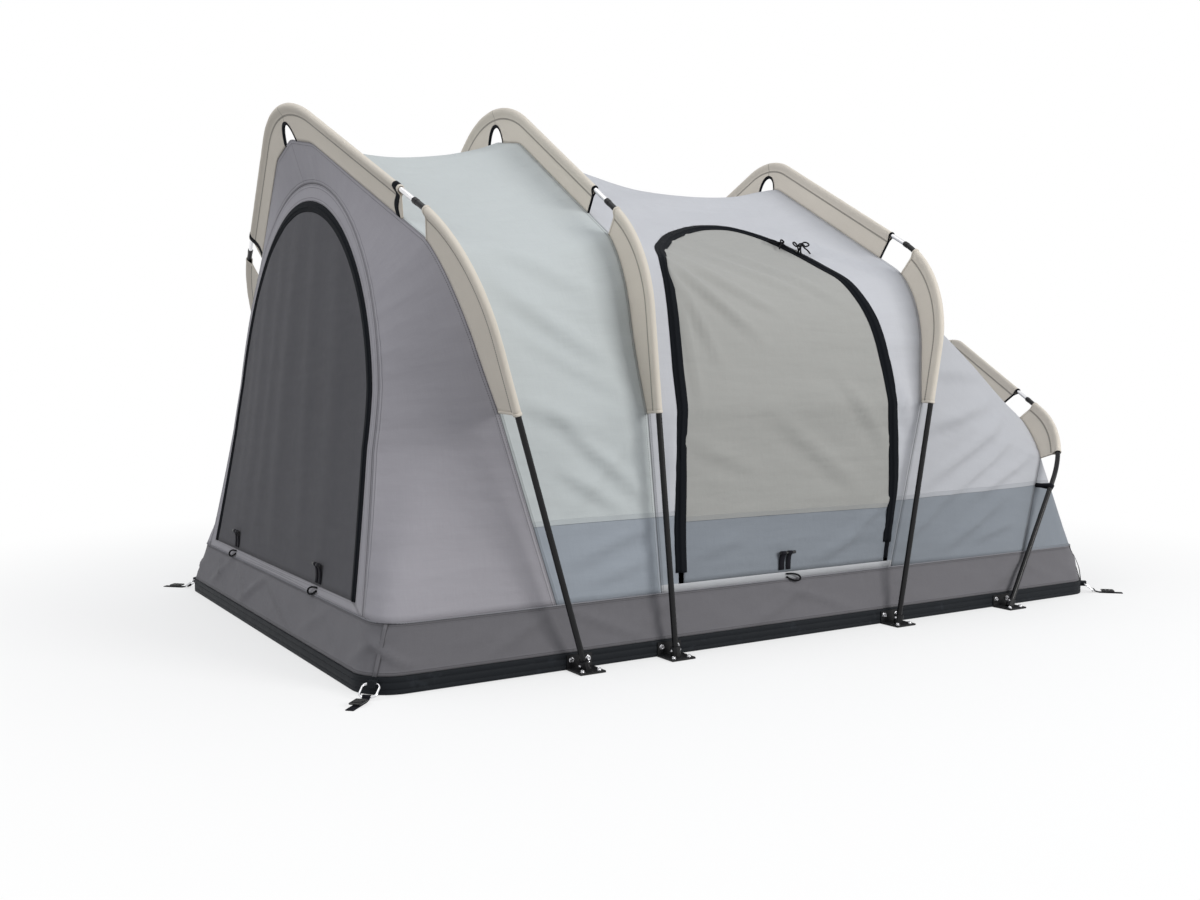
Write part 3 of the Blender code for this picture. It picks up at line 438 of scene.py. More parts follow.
def canvas(name, colour, low_colour=None, seam_z=SEAM_HEIGHT, weave=0.0006, crumple=0.5, sheen=0.12,
           sill=None, rows=(0.006,), drape=1.0, thread=0.6, middle_seam=False):
    """Woven cloth with creases, sewn edges with painted shadow along each seam, and a lower band in a second
    colour below a felled seam.
    """
    finish = Finish(name, colour, 0.82, Sheen_Weight=sheen, Sheen_Roughness=0.5, Specular_IOR_Level=0.25)
    cloth = finish.uv("cloth")
    from_seam, along_seam, _ = finish.parts(finish.uv("seam"))
    place = finish.place()
    _, across, height = finish.parts(place)
    main = colour
    if low_colour:
        main = finish.tint(finish.below(height, seam_z), main, low_colour)
        fell = finish.band(height, seam_z + 0.005, 0.005, 0.001)
        main = finish.tint(finish.times(fell, 0.25), main, scaled(low_colour, 0.8))
        finish.raise_by(fell, 0.0012, 0.9)
    if sill:
        main = finish.tint(finish.below(height, sill[0]), main, sill[1])
    blotch = finish.ramp(finish.noise(place, 3.2, 4.0, 0.55), 0.35, 0.70)
    main = finish.darkened(main, 0.92, finish.times(blotch, 0.55))
    slub = finish.noise(finish.stretch(cloth, (900.0, 14.0, 1.0)), 1.0)
    slub_across = finish.noise(finish.stretch(cloth, (14.0, 900.0, 1.0)), 1.0)
    streak = finish.times(finish.math("ADD", slub, slub_across), 0.5)
    main = finish.darkened(main, 0.86, finish.times(finish.ramp(streak, 0.42, 0.62), 0.3))
    stitched = 0.0
    for row in rows:
        line = finish.band(from_seam, row, 0.0005, 0.0004)
        dash = finish.ramp(finish.math("FRACT", finish.times(along_seam, 1 / STITCH)), 0.22, 0.30)
        stitched = finish.math("MAXIMUM", finish.times(line, dash), stitched)
    if middle_seam:
        stitched = finish.math("MAXIMUM", finish.band(across, 0.0, 0.0006, 0.0004), stitched)
    main = finish.tint(finish.times(stitched, thread), main, scaled(colour, 0.35))
    # Painted shadow: a thin dark line along each sewn edge, where two cloths meet.
    seam_shadow = finish.band(from_seam, 0.0, 0.0008, 0.0006)
    main = finish.tint(finish.times(seam_shadow, 0.7), main, scaled(colour, 0.25))
    finish.raise_by(finish.band(from_seam, 0.0, rows[-1] + 0.002, 0.002), 0.0010, 0.35)
    finish.raise_by(stitched, -0.0006, 0.8)
    finish.paint(main)
    for turn, size in ((0.55, 1.0), (-0.45, 0.6)):
        streaks = finish.noise(finish.stretch(cloth, (3.0, 14.0, 1.0), turn), 1.0)
        finish.raise_by(finish.ramp(streaks, 0.40, 0.85), 0.010 * crumple * size * drape, 0.5)
    finish.raise_by(finish.noise(place, 9.0, 5.0, 0.6), 0.009 * crumple, 0.5)
    finish.raise_by(finish.noise(place, 60.0, 3.0, 0.6), 0.0008 * crumple, 0.5)
    threads = [finish.ribs(cloth, direction, weave, 0.6, 1.0) for direction in ("X", "Y")]
    finish.raise_by(finish.times(*threads), weave * 0.35, 0.5)
    finish.rough(0.74, 0.90, finish.noise(place, 40.0, 3.0))
    return finish.material


def webbing(name, colour, pitch=0.0016):
    """Ribbed tape or strap: cross ribs along its own length."""
    finish = Finish(name, colour, 0.75, Specular_IOR_Level=0.06)
    ribs = finish.ribs(finish.uv("cloth"), "Y", pitch, 0.3)
    fuzz = finish.noise(finish.place(), 700.0)
    finish.paint(finish.tint(finish.times(ribs, 0.5), scaled(colour, 1.5), scaled(colour, 0.7)))
    finish.raise_by(ribs, pitch * 0.3, 0.7)
    finish.raise_by(fuzz, 0.0003, 0.4)
    finish.rough(0.6, 0.85, fuzz)
    return finish.material


def moulded(name, colour, roughness=0.45, grain=0.0008, worn=1.8, specular=0.4):
    """Moulded plastic or powder coat: fine grain, with rubbed brighter specks."""
    finish = Finish(name, colour, roughness, Specular_IOR_Level=specular)
    place = finish.place()
    fine = finish.noise(place, 0.5 / grain, 3.0, 0.6)
    rub = finish.noise(place, 28.0, 4.0, 0.65)
    finish.paint(finish.tint(finish.ramp(rub, 0.58, 0.75), colour, scaled(colour, worn)))
    finish.raise_by(fine, grain * 0.25, 0.5)
    finish.rough(roughness - 0.12, roughness + 0.12, rub)
    return finish.material


def drawn_metal(name, colour, roughness, metallic=1.0, specular=0.5):
    """Drawn tube or wire: fine scratches, handling marks and a little haze."""
    finish = Finish(name, colour, roughness, metallic, Specular_IOR_Level=specular)
    place = finish.place()
    scratch = finish.noise(finish.stretch(place, (900.0, 900.0, 60.0)), 1.0, 3.0, 0.6)
    smear = finish.noise(place, 22.0, 4.0, 0.6)
    finish.paint(finish.tint(finish.ramp(smear, 0.45, 0.8), colour, scaled(colour, 0.8)))
    finish.raise_by(scratch, 0.00008, 0.5)
    finish.rough(roughness * 0.7, roughness * 1.5, smear)
    return finish.material


def twisted(name, colour, pitch=0.0012):
    """Braided cord."""
    finish = Finish(name, colour, 0.8, Specular_IOR_Level=0.1)
    braid = finish.ribs(finish.place(), "DIAGONAL", pitch, 1.0)
    finish.paint(finish.tint(braid, scaled(colour, 0.7), scaled(colour, 1.6)))
    finish.raise_by(braid, pitch * 0.3, 0.7)
    return finish.material


BEIGE = (0.70, 0.645, 0.565)
PALE_GREY = (0.535, 0.545, 0.580)
SILVER_GREY = (0.520, 0.555, 0.560)
BAND_GREY = (0.290, 0.320, 0.360)
END_GREY = (0.350, 0.338, 0.368)
DOOR_GREY = (0.36, 0.36, 0.345)
WINDOW_GREY = (0.080, 0.079, 0.088)
TUB_GREY = (0.150, 0.146, 0.158)
SILL_GREY = (0.50, 0.51, 0.53)
REAR_SILL_GREY = (0.355, 0.345, 0.370)
BLACK = (0.005, 0.006, 0.008)

LOOKS = {
    # The rear bay's lower band is the band grey made a little lighter: painted light for how the light falls
    # on that side.
    "rear_bay": canvas("rear bay cloth", SILVER_GREY, scaled(BAND_GREY, 1.08)),
    "door_bay": canvas("door bay cloth", PALE_GREY, BAND_GREY, sill=(SILL_HEIGHT, SILL_GREY)),
    # The front bay and front wall are the door bay's greys made darker: painted shade for how the light falls
    # on the low end.
    "front_bay": canvas("front bay cloth", scaled(PALE_GREY, 0.86), scaled(BAND_GREY, 0.76)),
    "front_wall": canvas("front wall cloth", scaled(PALE_GREY, 0.86), scaled(BAND_GREY, 0.76), drape=0.4),
    "end_wall": canvas("end wall cloth", END_GREY, sill=(WINDOW_SILL, REAR_SILL_GREY), rows=(0.003, 0.009),
                       thread=0.9),
    "end_corner": canvas("end corner cloth", END_GREY, rows=(0.003, 0.009), thread=0.9,
                         middle_seam=True),
    "window": canvas("window cloth", WINDOW_GREY, weave=0.0009, crumple=0.4, sheen=0.05),
    "door": canvas("door cloth", DOOR_GREY, scaled(BAND_GREY, 0.8), seam_z=DOOR_SEAM_HEIGHT, crumple=0.7),
    "tub": canvas("tub cloth", TUB_GREY, crumple=0.6, weave=0.0009, drape=0.3),
    "sleeve": canvas("sleeve cloth", BEIGE, crumple=0.4, rows=(0.0016,), drape=0.2, thread=1.0,
                     middle_seam=True),
    "piping": twisted("piping", (0.20, 0.20, 0.215), 0.0018),
    "zip": webbing("zip tape", BLACK, 0.0014),
    "binding": webbing("edge binding", BLACK, 0.0012),
    "webbing": webbing("strap webbing", (0.009, 0.009, 0.012)),
    "dark_pole": drawn_metal("dark pole", (0.004, 0.004, 0.005), 0.26, 0.0, specular=0.25),
    "bright_pole": drawn_metal("bright pole", (0.80, 0.80, 0.82), 0.20),
    "bright_wire": drawn_metal("bright wire", (0.70, 0.70, 0.72), 0.14),
    "bracket": moulded("bracket coat", (0.006, 0.006, 0.007), 0.5, worn=2.6, specular=0.25),
    "plastic": moulded("moulded plastic", (0.007, 0.007, 0.008), 0.38),
    "base": moulded("base board coat", (0.013, 0.015, 0.018), 0.6, grain=0.0014, worn=2.0, specular=0.10),
    "cord": twisted("cord", (0.005, 0.005, 0.006)),
    "bolt": drawn_metal("bolt steel", (0.55, 0.55, 0.57), 0.25),
}


# Mesh tools

def nothing_selected():
    if bpy.context.object and bpy.context.object.mode != "OBJECT":
        bpy.ops.object.mode_set(mode="OBJECT")
    bpy.ops.object.select_all(action="DESELECT")


def only(obj):
    nothing_selected()
    obj.select_set(True)
    bpy.context.view_layer.objects.active = obj


def apply_modifier(obj, kind, **settings):
    only(obj)
    modifier = obj.modifiers.new(kind.lower(), kind)
    for key, value in settings.items():
        setattr(modifier, key, value)
    bpy.ops.object.modifier_apply(modifier=modifier.name)


def link(name, data):
    """New object in the scene."""
    obj = bpy.data.objects.new(name, data)
    bpy.context.scene.collection.objects.link(obj)
    return obj


def join_tent(obj, body="tent", nodes=()):
    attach(obj, body)
    if nodes:
        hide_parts(*nodes)
    return obj


def runs_along(points):
    """Distance along the line at each of its points."""
    runs = [0.0]
    for p, q in zip(points, points[1:]):
        runs.append(runs[-1] + (q - p).length)
    return runs


def spread(points, count):
    """The same line in that many even steps."""
    runs = runs_along(points)
    result = []
    index = 0
    for i in range(count + 1):
        run = runs[-1] * i / count
        while index < len(runs) - 2 and runs[index + 1] < run:
            index += 1
        span = max(runs[index + 1] - runs[index], 1e-9)
        result.append(points[index].lerp(points[index + 1], (run - runs[index]) / span))
    return result


def grid_faces(levels, count, closed=False):
    """Faces between rows of that many points. A closed grid's last row meets its first."""
    faces = []
    for i in range(levels if closed else levels - 1):
        k = (i + 1) % levels
        for j in range(count - 1):
            faces.append((i * count + j, i * count + j + 1, k * count + j + 1, k * count + j))
    return faces


def grid_cloth(name, rows, look, outward, thick=CLOTH, closed=False, sewn=True, stitch_line=None):
    """Sheet through rows of points, with its own UV in metres and a UV of distance to its nearest side seam.

    outward tells a point's outer side. A closed sheet's rows run round and meet. The cloth's thickness goes
    inwards. A sheet that isn't sewn shows no seam, and a stitch line says how far in each row's seam is."""
    middle = len(rows[0]) // 2
    down = runs_along([row[middle] for row in rows])
    flat = []
    seam = []
    for i, row in enumerate(rows):
        runs = runs_along(row)
        for run in runs:
            flat.append((run - runs[middle], down[i]))
            near = min(run, runs[-1] - run) if sewn else 1.0
            seam.append((abs(near - stitch_line[i]) if stitch_line else near, down[i]))
    vertices = [point for row in rows for point in row]
    mesh = bpy.data.meshes.new(name)
    mesh.from_pydata(vertices, [], grid_faces(len(rows), len(rows[0]), closed))
    face = mesh.polygons[len(mesh.polygons) // 3]
    if face.normal.dot(outward(face.center)) < 0:
        mesh.flip_normals()
    for map_name, values in (("cloth", flat), ("seam", seam)):
        layer = mesh.uv_layers.new(name=map_name)
        for loop in mesh.loops:
            layer.data[loop.index].uv = values[loop.vertex_index]
    obj = link(name, mesh)
    mesh.materials.append(LOOKS[look])
    mesh.shade_smooth()
    if thick:
        apply_modifier(obj, "SOLIDIFY", thickness=thick, offset=-1.0)
    return obj


def flat_area(rows):
    """Area of the sheet through rows of points, and its greatest width and length."""
    area = 0.0
    for row, after in zip(rows, rows[1:]):
        for j in range(len(row) - 1):
            area += (row[j + 1] - row[j]).cross(after[j] - row[j]).length / 2
            area += (row[j + 1] - after[j + 1]).cross(after[j] - after[j + 1]).length / 2
    width = max(runs_along(row)[-1] for row in rows)
    return area, width, max(runs_along(column)[-1] for column in zip(*rows))


def from_axis(point):
    """Outwards from the tent's long middle line."""
    return Vector((0, point.y, point.z - MIDDLE_HEIGHT))


def tube(name, points, radius, look, closed=False, sides=10):
    """Round bar or cord through points: a curve with a round bevel, made a mesh."""
    curve = bpy.data.curves.new(name, "CURVE")
    curve.dimensions = "3D"
    curve.bevel_depth = radius
    curve.bevel_resolution = max((sides - 4) // 2, 1)
    curve.use_fill_caps = not closed
    spline = curve.splines.new("POLY")
    spline.points.add(len(points) - 1)
    for place, point in zip(spline.points, points):
        place.co = (*point, 1.0)
    spline.use_cyclic_u = closed
    obj = link(name, curve)
    only(obj)
    bpy.ops.object.convert(target="MESH")
    obj.data.materials.clear()
    obj.data.materials.append(LOOKS[look])
    layer = obj.data.uv_layers[0] if obj.data.uv_layers else obj.data.uv_layers.new(name="cloth")
    layer.name = "cloth"
    obj.data.shade_smooth()
    return obj


def smooth_line(points, steps=6, closed=False):
    """Catmull-Rom line through the points."""
    result = []
    count = len(points)
    spans = count if closed else count - 1
    for i in range(spans):
        if closed:
            a, b, c, d = (points[(i + k) % count] for k in (-1, 0, 1, 2))
        else:
            a, b, c, d = (points[min(max(i + k, 0), count - 1)] for k in (-1, 0, 1, 2))
        for j in range(steps):
            t = j / steps
            result.append(0.5 * ((2 * b) + (c - a) * t + (2 * a - 5 * b + 4 * c - d) * t * t
                                 + (3 * b - 3 * c + d - a) * t * t * t))
    if not closed:
        result.append(points[-1])
    return result


def strip(name, points, outwards, width, look, thick=0.0012, bulge=0.0, columns=4):
    """Flat strip of webbing or tape along points, lying square to the outward directions."""
    rows = []
    for i, (point, outward) in enumerate(zip(points, outwards)):
        before = points[max(i - 1, 0)]
        after = points[min(i + 1, len(points) - 1)]
        side = outward.cross(after - before).normalized()
        row = []
        for j in range(columns + 1):
            share = 2 * j / columns - 1
            row.append(point + side * width / 2 * share + outward * bulge * (1 - share * share))
        rows.append(row)
    outer = outwards[len(outwards) // 3]
    return grid_cloth(name, rows, look, lambda place: outer, thick=thick)


def joined(name, pieces):
    """One piece of several."""
    nothing_selected()
    for piece in pieces:
        piece.select_set(True)
    bpy.context.view_layer.objects.active = pieces[0]
    bpy.ops.object.join()
    pieces[0].name = name
    pieces[0].data.name = name
    return pieces[0]


def copy_to(source, name, matrix):
    """A copy with its own mesh, with the place in the mesh."""
    copy = link(name, source.data.copy())
    copy.data.transform(matrix)
    return copy


def settle(obj):
    """Put the object's own place into its mesh."""
    only(obj)
    bpy.ops.object.transform_apply(location=True, rotation=True, scale=True)
    return obj


# Folds

def fold_height(folds, u, v):
    """Sum of listed folds at a place: each is (u0, v0, u1, v1, half width, height)."""
    total = 0.0
    for u0, v0, u1, v1, width, height in folds:
        du, dv = u1 - u0, v1 - v0
        length = math.hypot(du, dv)
        along = ((u - u0) * du + (v - v0) * dv) / length
        aside = ((u - u0) * dv - (v - v0) * du) / length
        share = along / length
        if share < -0.15 or share > 1.15 or abs(aside) > 4 * width:
            continue
        taper = math.sin(math.pi * min(max((share + 0.15) / 1.3, 0.0), 1.0))
        ridge = math.exp(-(aside / width) ** 2) - 0.5 * math.exp(-((aside - 1.7 * width) / width) ** 2)
        total += FOLD_SIZE * height * taper * ridge
    return total


def eased(value, full):
    """0 at a seam, 1 from that distance on."""
    share = min(max(value / full, 0.0), 1.0)
    return share * share * (3 - 2 * share)


def pucker(run, edge, seed):
    """Small gathers along a seam that fade out in the cloth."""
    wave = math.sin(run * 125 + 5 * noise.noise(Vector((run * 6, seed, 0))))
    size = 0.5 + 0.5 * noise.noise(Vector((run * 9, seed, 7.0)))
    return wave * size * math.exp(-edge / 0.045) * min(edge / 0.008, 1.0)


# The body's cloth

def sag_share(z):
    """0 in the walls and 1 in the roof."""
    return eased(z - SAG_BEGINS, SAG_FULL - SAG_BEGINS)


def wrinkled(rows, inwards, folds, seed, billow, gather=0.0017):
    """Move rows of points along their inward directions by folds, a slow billow and gathers at the seams."""
    middle = len(rows[0]) // 2
    result = []
    for row, inward, run in zip(rows, inwards, runs_along([row[middle] for row in rows])):
        lengths = runs_along(row)
        moved = []
        for point, toward, length in zip(row, inward, lengths):
            edge = min(length, lengths[-1] - length)
            foot = eased(point.z - BODY_FOOT, CALM_EDGE)
            calm = eased(edge, CALM_EDGE)
            slow = noise.noise(Vector((point.x * 3.1, point.y * 3.1 + seed, point.z * 3.1)))
            fast = noise.noise(Vector((point.x * 9.0, point.y * 9.0 + seed, point.z * 9.0)))
            out = (slow * billow + fast * billow * 0.25) * calm * foot
            out += gather * pucker(run, edge, seed) * foot
            if folds:
                out += fold_height(folds[0] if point.y < 0 else folds[1], point.x, point.z) * calm * foot
            moved.append(point - toward * out)
        result.append(moved)
    return result


def bay_rows(rear, front, sags, columns):
    """Points and inward directions of the body between two hoops."""
    roof_sag, side_sag = sags
    rows = []
    inwards = []
    for mark in MARKS:
        p, p_in = rear.seam(mark)
        q, q_in = front.seam(mark)
        start = p + rear.across() * SEAM / 2
        end = q - front.across() * SEAM / 2
        row = []
        inward = []
        for j in range(columns + 1):
            share = j / columns
            point = start.lerp(end, share)
            toward = p_in.lerp(q_in, share).normalized()
            height = sag_share(point.z)
            rise = min((point.z - BODY_FOOT) / SIDE_SAG_RISE, 1.0)
            depth = roof_sag * height + side_sag * (1 - height) * rise
            row.append(point + toward * depth * 4 * share * (1 - share))
            inward.append(toward)
        rows.append(row)
        inwards.append(inward)
    return rows, inwards


# Folds in the -Y side and in the +Y side, as (x, z) ends, half width and height
REAR_BAY_FOLDS = (
    [(-0.62, 0.517, -0.424, 0.361, 0.016, 0.0038), (-0.625, 0.414, -0.480, 0.330, 0.013, 0.0030),
     (-0.717, 0.561, -0.520, 0.494, 0.018, 0.0034), (-0.596, 0.224, -0.403, 0.284, 0.014, 0.0030),
     (-0.560, 0.174, -0.394, 0.215, 0.011, 0.0024), (-0.600, 0.330, -0.440, 0.480, 0.018, 0.0026),
     (-0.740, 0.800, -0.480, 0.640, 0.022, 0.0036), (-0.800, 0.930, -0.520, 0.800, 0.020, 0.0030),
     (-0.700, 0.700, -0.430, 0.560, 0.016, 0.0024)],
    [(-0.640, 0.500, -0.420, 0.380, 0.018, 0.0036), (-0.600, 0.210, -0.400, 0.300, 0.014, 0.0030),
     (-0.760, 0.820, -0.500, 0.640, 0.022, 0.0034), (-0.700, 0.620, -0.460, 0.520, 0.016, 0.0028)])
DOOR_BAY_FOLDS = (
    [(-0.360, 0.240, -0.330, 0.520, 0.012, 0.0026), (0.300, 0.620, 0.370, 0.400, 0.012, 0.0028),
     (-0.300, 1.020, 0.200, 1.110, 0.022, 0.0034), (-0.320, 0.930, -0.380, 0.700, 0.014, 0.0026),
     (0.280, 1.000, 0.400, 0.860, 0.016, 0.0030), (0.310, 0.200, 0.340, 0.320, 0.010, 0.0022)],
    [(-0.340, 0.260, 0.060, 0.420, 0.020, 0.0034), (-0.300, 0.900, 0.000, 0.700, 0.022, 0.0036),
     (0.350, 0.880, 0.100, 0.640, 0.020, 0.0036), (-0.100, 0.200, 0.250, 0.300, 0.016, 0.0030),
     (-0.350, 0.620, -0.050, 0.520, 0.018, 0.0028), (0.330, 0.420, 0.120, 0.240, 0.016, 0.0030)])
FRONT_BAY_FOLDS = (
    [(0.439, 0.343, 0.810, 0.483, 0.016, 0.0038), (0.526, 0.299, 0.836, 0.428, 0.012, 0.0032),
     (0.634, 0.292, 0.932, 0.383, 0.013, 0.0034), (0.377, 0.472, 0.783, 0.538, 0.018, 0.0034),
     (0.482, 0.161, 0.745, 0.272, 0.014, 0.0034), (0.360, 0.200, 0.520, 0.300, 0.013, 0.0028),
     (0.400, 0.620, 0.760, 0.610, 0.018, 0.0030), (0.600, 0.180, 0.770, 0.210, 0.012, 0.0028)],
    [(0.420, 0.360, 0.820, 0.470, 0.018, 0.0036), (0.560, 0.280, 0.900, 0.400, 0.014, 0.0034),
     (0.450, 0.170, 0.720, 0.270, 0.014, 0.0030), (0.380, 0.560, 0.780, 0.560, 0.020, 0.0034)])
DOOR_FOLDS = [
    (-0.264, 0.871, -0.255, 0.560, 0.011, 0.0030), (-0.262, 0.860, -0.180, 0.640, 0.012, 0.0034),
    (-0.250, 0.880, -0.060, 0.700, 0.013, 0.0040), (-0.215, 0.900, 0.010, 0.760, 0.012, 0.0034),
    (-0.130, 0.935, 0.100, 0.810, 0.011, 0.0030), (-0.040, 0.960, 0.200, 0.790, 0.011, 0.0028),
    (0.120, 0.190, 0.280, 0.300, 0.012, 0.0034), (0.040, 0.172, 0.270, 0.240, 0.010, 0.0030),
    (-0.300, 0.200, -0.150, 0.240, 0.010, 0.0024), (0.150, 0.600, 0.270, 0.440, 0.016, 0.0024),
    (-0.290, 0.460, -0.120, 0.400, 0.016, 0.0022), (-0.050, 0.520, 0.180, 0.350, 0.020, 0.0024)]


def sheet(obj, rows, rests_on, held="stretched", cut_out=0.0):
    """Work out a cloth's flat size from its rows, less what is cut out of it, and pass it to declare, which
    keeps nothing.
    """
    area, width, length = flat_area(rows)
    declare(obj, width, length, area - cut_out, rests_on, held)


def declare(obj, width, length, area, rests_on, held="stretched"):
    size = (math.ceil(width * 1000) / 1000, math.ceil(length * 1000) / 1000)
    area = min(area, size[0] * size[1])


def make_side_bays():
    """The bays on either side of the door's."""
    for label, first, folds, columns, seed in (("rear", 0, REAR_BAY_FOLDS, 36, 1.0),
                                               ("front", 2, FRONT_BAY_FOLDS, 44, 5.0)):
        rows, inwards = bay_rows(HOOPS[first], HOOPS[first + 1], BAY_SAGS[first], columns)
        rows = wrinkled(rows, inwards, folds, seed, BAY_BILLOW)
        bay = grid_cloth(f"{label}_bay_cloth", rows, f"{label}_bay", from_axis)
        join_tent(bay, nodes=[f"bay_{label}"])
        sheet(bay, rows, [f"top_sleeve_cloth_{first + 1}", f"top_sleeve_cloth_{first + 2}"])


def door_outline(inset, sill):
    """The door's edge as (x, z), that far in from the zip's outer edge, from its right foot to its left."""
    line = evenly(smooth_line([Vector(place) for place in DOOR_LINE]), DOOR_LINE_STEP)
    points = []
    for i, place in enumerate(line):
        before = line[max(i - 1, 0)]
        after = line[min(i + 1, len(line) - 1)]
        along = (after - before).normalized()
        points.append(place + Vector((-along.y, along.x)) * (inset - ZIP_WIDTH / 2))
    points[0].y = sill
    points[-1].y = sill
    return points


def evenly(points, step):
    """The same line with even spacing of about that step."""
    return spread(points, max(int(runs_along(points)[-1] / step), 2))


def door_block(name, outline):
    """Solid of the given outline that passes through the -Y wall."""
    mesh = bpy.data.meshes.new(name)
    count = len(outline)
    vertices = [(p.x, y, p.y) for y in DOOR_BLOCK for p in outline]
    faces = [tuple(range(count)), tuple(range(2 * count - 1, count - 1, -1))]
    faces += [(i, i + count, (i + 1) % count + count, (i + 1) % count) for i in range(count)]
    mesh.from_pydata(vertices, [], faces)
    bm = bmesh.new()
    bm.from_mesh(mesh)
    bmesh.ops.recalc_face_normals(bm, faces=bm.faces)
    bm.to_mesh(mesh)
    bm.free()
    return link(name, mesh)


def cut(obj, tool, operation):
    apply_modifier(obj, "BOOLEAN", object=tool, operation=operation, solver="EXACT")
    bpy.data.objects.remove(tool)


def tree_of(rows):
    """Search tree of the surface through rows of points."""
    return BVHTree.FromPolygons([point for row in rows for point in row], grid_faces(len(rows), len(rows[0])))


def on_side(tree, x, z):
    """The -Y surface's point and outward direction at x and z."""
    point, normal, _, _ = tree.ray_cast(Vector((x, -1.5, z)), Vector((0, 1, 0)))
    if normal.y > 0:
        normal = -normal
    return point, normal


def make_door_bay():
    """The bay with the door, the door panel in it, and the zip round the panel."""
    rows, inwards = bay_rows(HOOPS[1], HOOPS[2], BAY_SAGS[1], DOOR_BAY_COLUMNS)
    wall_rows = wrinkled(rows, inwards, DOOR_BAY_FOLDS, DOOR_BAY_SEED, BAY_BILLOW)
    bay = grid_cloth("door_bay_cloth", wall_rows, "door_bay", from_axis)
    cut(bay, door_block("opening", door_outline(0.004, DOOR_SILL)), "DIFFERENCE")
    join_tent(bay, nodes=["bay_middle"])
    sheet(bay, wall_rows, ["top_sleeve_cloth_2", "top_sleeve_cloth_3"], cut_out=DOOR_OPENING_AREA)
    half = len(MARKS) // 2
    door_rows = wrinkled(rows[:half], inwards[:half], (DOOR_FOLDS, []), DOOR_BAY_SEED, BAY_BILLOW,
                         gather=0.0)
    panel = grid_cloth("door_panel_cloth", door_rows, "door", from_axis)
    outline = door_outline(ZIP_WIDTH - 0.004, DOOR_SILL + SEAM)
    cut(panel, door_block("panel", outline), "INTERSECT")
    join_tent(panel, "door", ["door_panel"])
    size = sum(p.area for p in panel.data.polygons) / 2
    declare(panel, *DOOR_FLAT, size, ["door_bay_cloth"])
    tree = tree_of(wall_rows)
    make_door_zip(tree)
    make_toggles(tree)
    make_zip_pulls(tree)


def make_door_zip(tree):
    """Zip round the door: two tapes with the coil between them, and a narrow tail down to the sill."""
    line = door_outline(ZIP_WIDTH / 2, DOOR_SILL + SEAM)
    sections = [(-0.0150, 0.0008), (-0.0105, 0.0020), (-0.0036, 0.0023), (-0.0026, 0.0042), (0.0026, 0.0042),
                (0.0036, 0.0023), (0.0105, 0.0020), (0.0150, 0.0008)]
    centres = [on_side(tree, place.x, max(place.y, DOOR_SILL + SEAM)) for place in line]
    inward = []
    for i, (point, outward) in enumerate(centres):
        along = centres[min(i + 1, len(line) - 1)][0] - centres[max(i - 1, 0)][0]
        inward.append(outward.cross(along).normalized())

    def row_at(i, narrow):
        """One row across the tape, on the wall. Its outer side is narrower near the door's right foot."""
        way = sum(inward[max(i - 4, 0):i + 5], Vector()).normalized()
        outer = 0.68 + 0.32 * eased(line[i].y - 0.26, 0.12) if i < len(line) / 2 else 1.0
        shift = 0.0018 * noise.noise(Vector((DOOR_LINE_STEP * i * 9, 3.3, 0)))
        ripple = 0.0010 * noise.noise(Vector((DOOR_LINE_STEP * i * 26, 6.1, 0)))
        row = []
        for offset, lift in sections:
            run = offset * narrow * (outer if offset < 0 else 1.0) + shift * outer
            point, outward, _, _ = tree.find_nearest(centres[i][0] + way * run)
            outward = outward if outward.y < 0 else -outward
            row.append(point + outward * (lift * narrow + abs(ripple)))
        return row

    half = len(line) / 2
    full = [i for i, place in enumerate(line) if place.y >= DOOR_ZIP_ENDS[0 if i < half else 1]]
    tail = [i for i, place in enumerate(line) if i < half and DOOR_SILL + 0.004 <= place.y <= 0.24]
    for name, look, narrow, picked, nodes in (("door_zip_tape", "zip", 1.0, full, ["door_zip"]),
                                              ("door_zip_tail", "binding", 0.45, tail, [])):
        rows = [row_at(i, narrow) for i in picked]
        band = grid_cloth(name, rows, look, lambda place: DOOR_OUT, thick=ZIP_THICK)
        join_tent(band, "door", nodes)
        sheet(band, rows, ["door_panel_cloth"])


# The two end walls

def rear_point(y, z, depth=0.0):
    """Point of the rear wall that far in from its outer face."""
    bow = REAR_BOW * min(max((z - BODY_FOOT) / REAR_BOW_RISE, 0.0), 1.0)
    x = REAR_LEAN * (z - BODY_FOOT) + bow * y * y - TUB_HALF_LENGTH
    inward = Vector((1, -2 * bow * y, -REAR_LEAN)).normalized()
    return Vector((x, y, z)) + inward * depth


class Arch:
    """Arched outline on the rear wall: leaning sides up to the spring line and half an ellipse on top."""

    def __init__(self, foot_half, spring_half, sill, top):
        self.foot_half = foot_half
        self.spring_half = spring_half
        self.sill = sill
        self.top = top

    def inset(self, gap, sill):
        return Arch(self.foot_half - gap, self.spring_half - gap, sill, self.top - gap)

    def facing(self, point):
        """The (y, z) of the outline that faces a point of the first hoop's seam line."""
        side = -1 if point.y < 0 else 1
        if point.z <= REAR_SPRING:
            share = (point.z - BODY_FOOT) / (REAR_SPRING - BODY_FOOT)
            z = self.sill + (REAR_SPRING - self.sill) * share
            return side * (self.foot_half + (self.spring_half - self.foot_half) * share), z
        rise = (point.z - REAR_SPRING) / (REAR_TOP - REAR_SPRING)
        angle = math.atan2(rise, abs(point.y) / REAR_SPRING_HALF)
        return (side * self.spring_half * math.cos(angle),
                REAR_SPRING + (self.top - REAR_SPRING) * math.sin(angle))

    def outline(self):
        """(y, z) pairs of the outline from the -Y foot to the +Y foot."""
        return [self.facing(HOOPS[0].seam(mark)[0]) for mark in MARKS]


REAR_EDGE = Arch(REAR_FOOT_HALF, REAR_SPRING_HALF, BODY_FOOT, REAR_TOP)
WINDOW_EDGE = Arch(WINDOW_FOOT_HALF, WINDOW_SPRING_HALF, WINDOW_SILL, WINDOW_TOP)
REAR_OUT = Vector((-1, 0, 0))


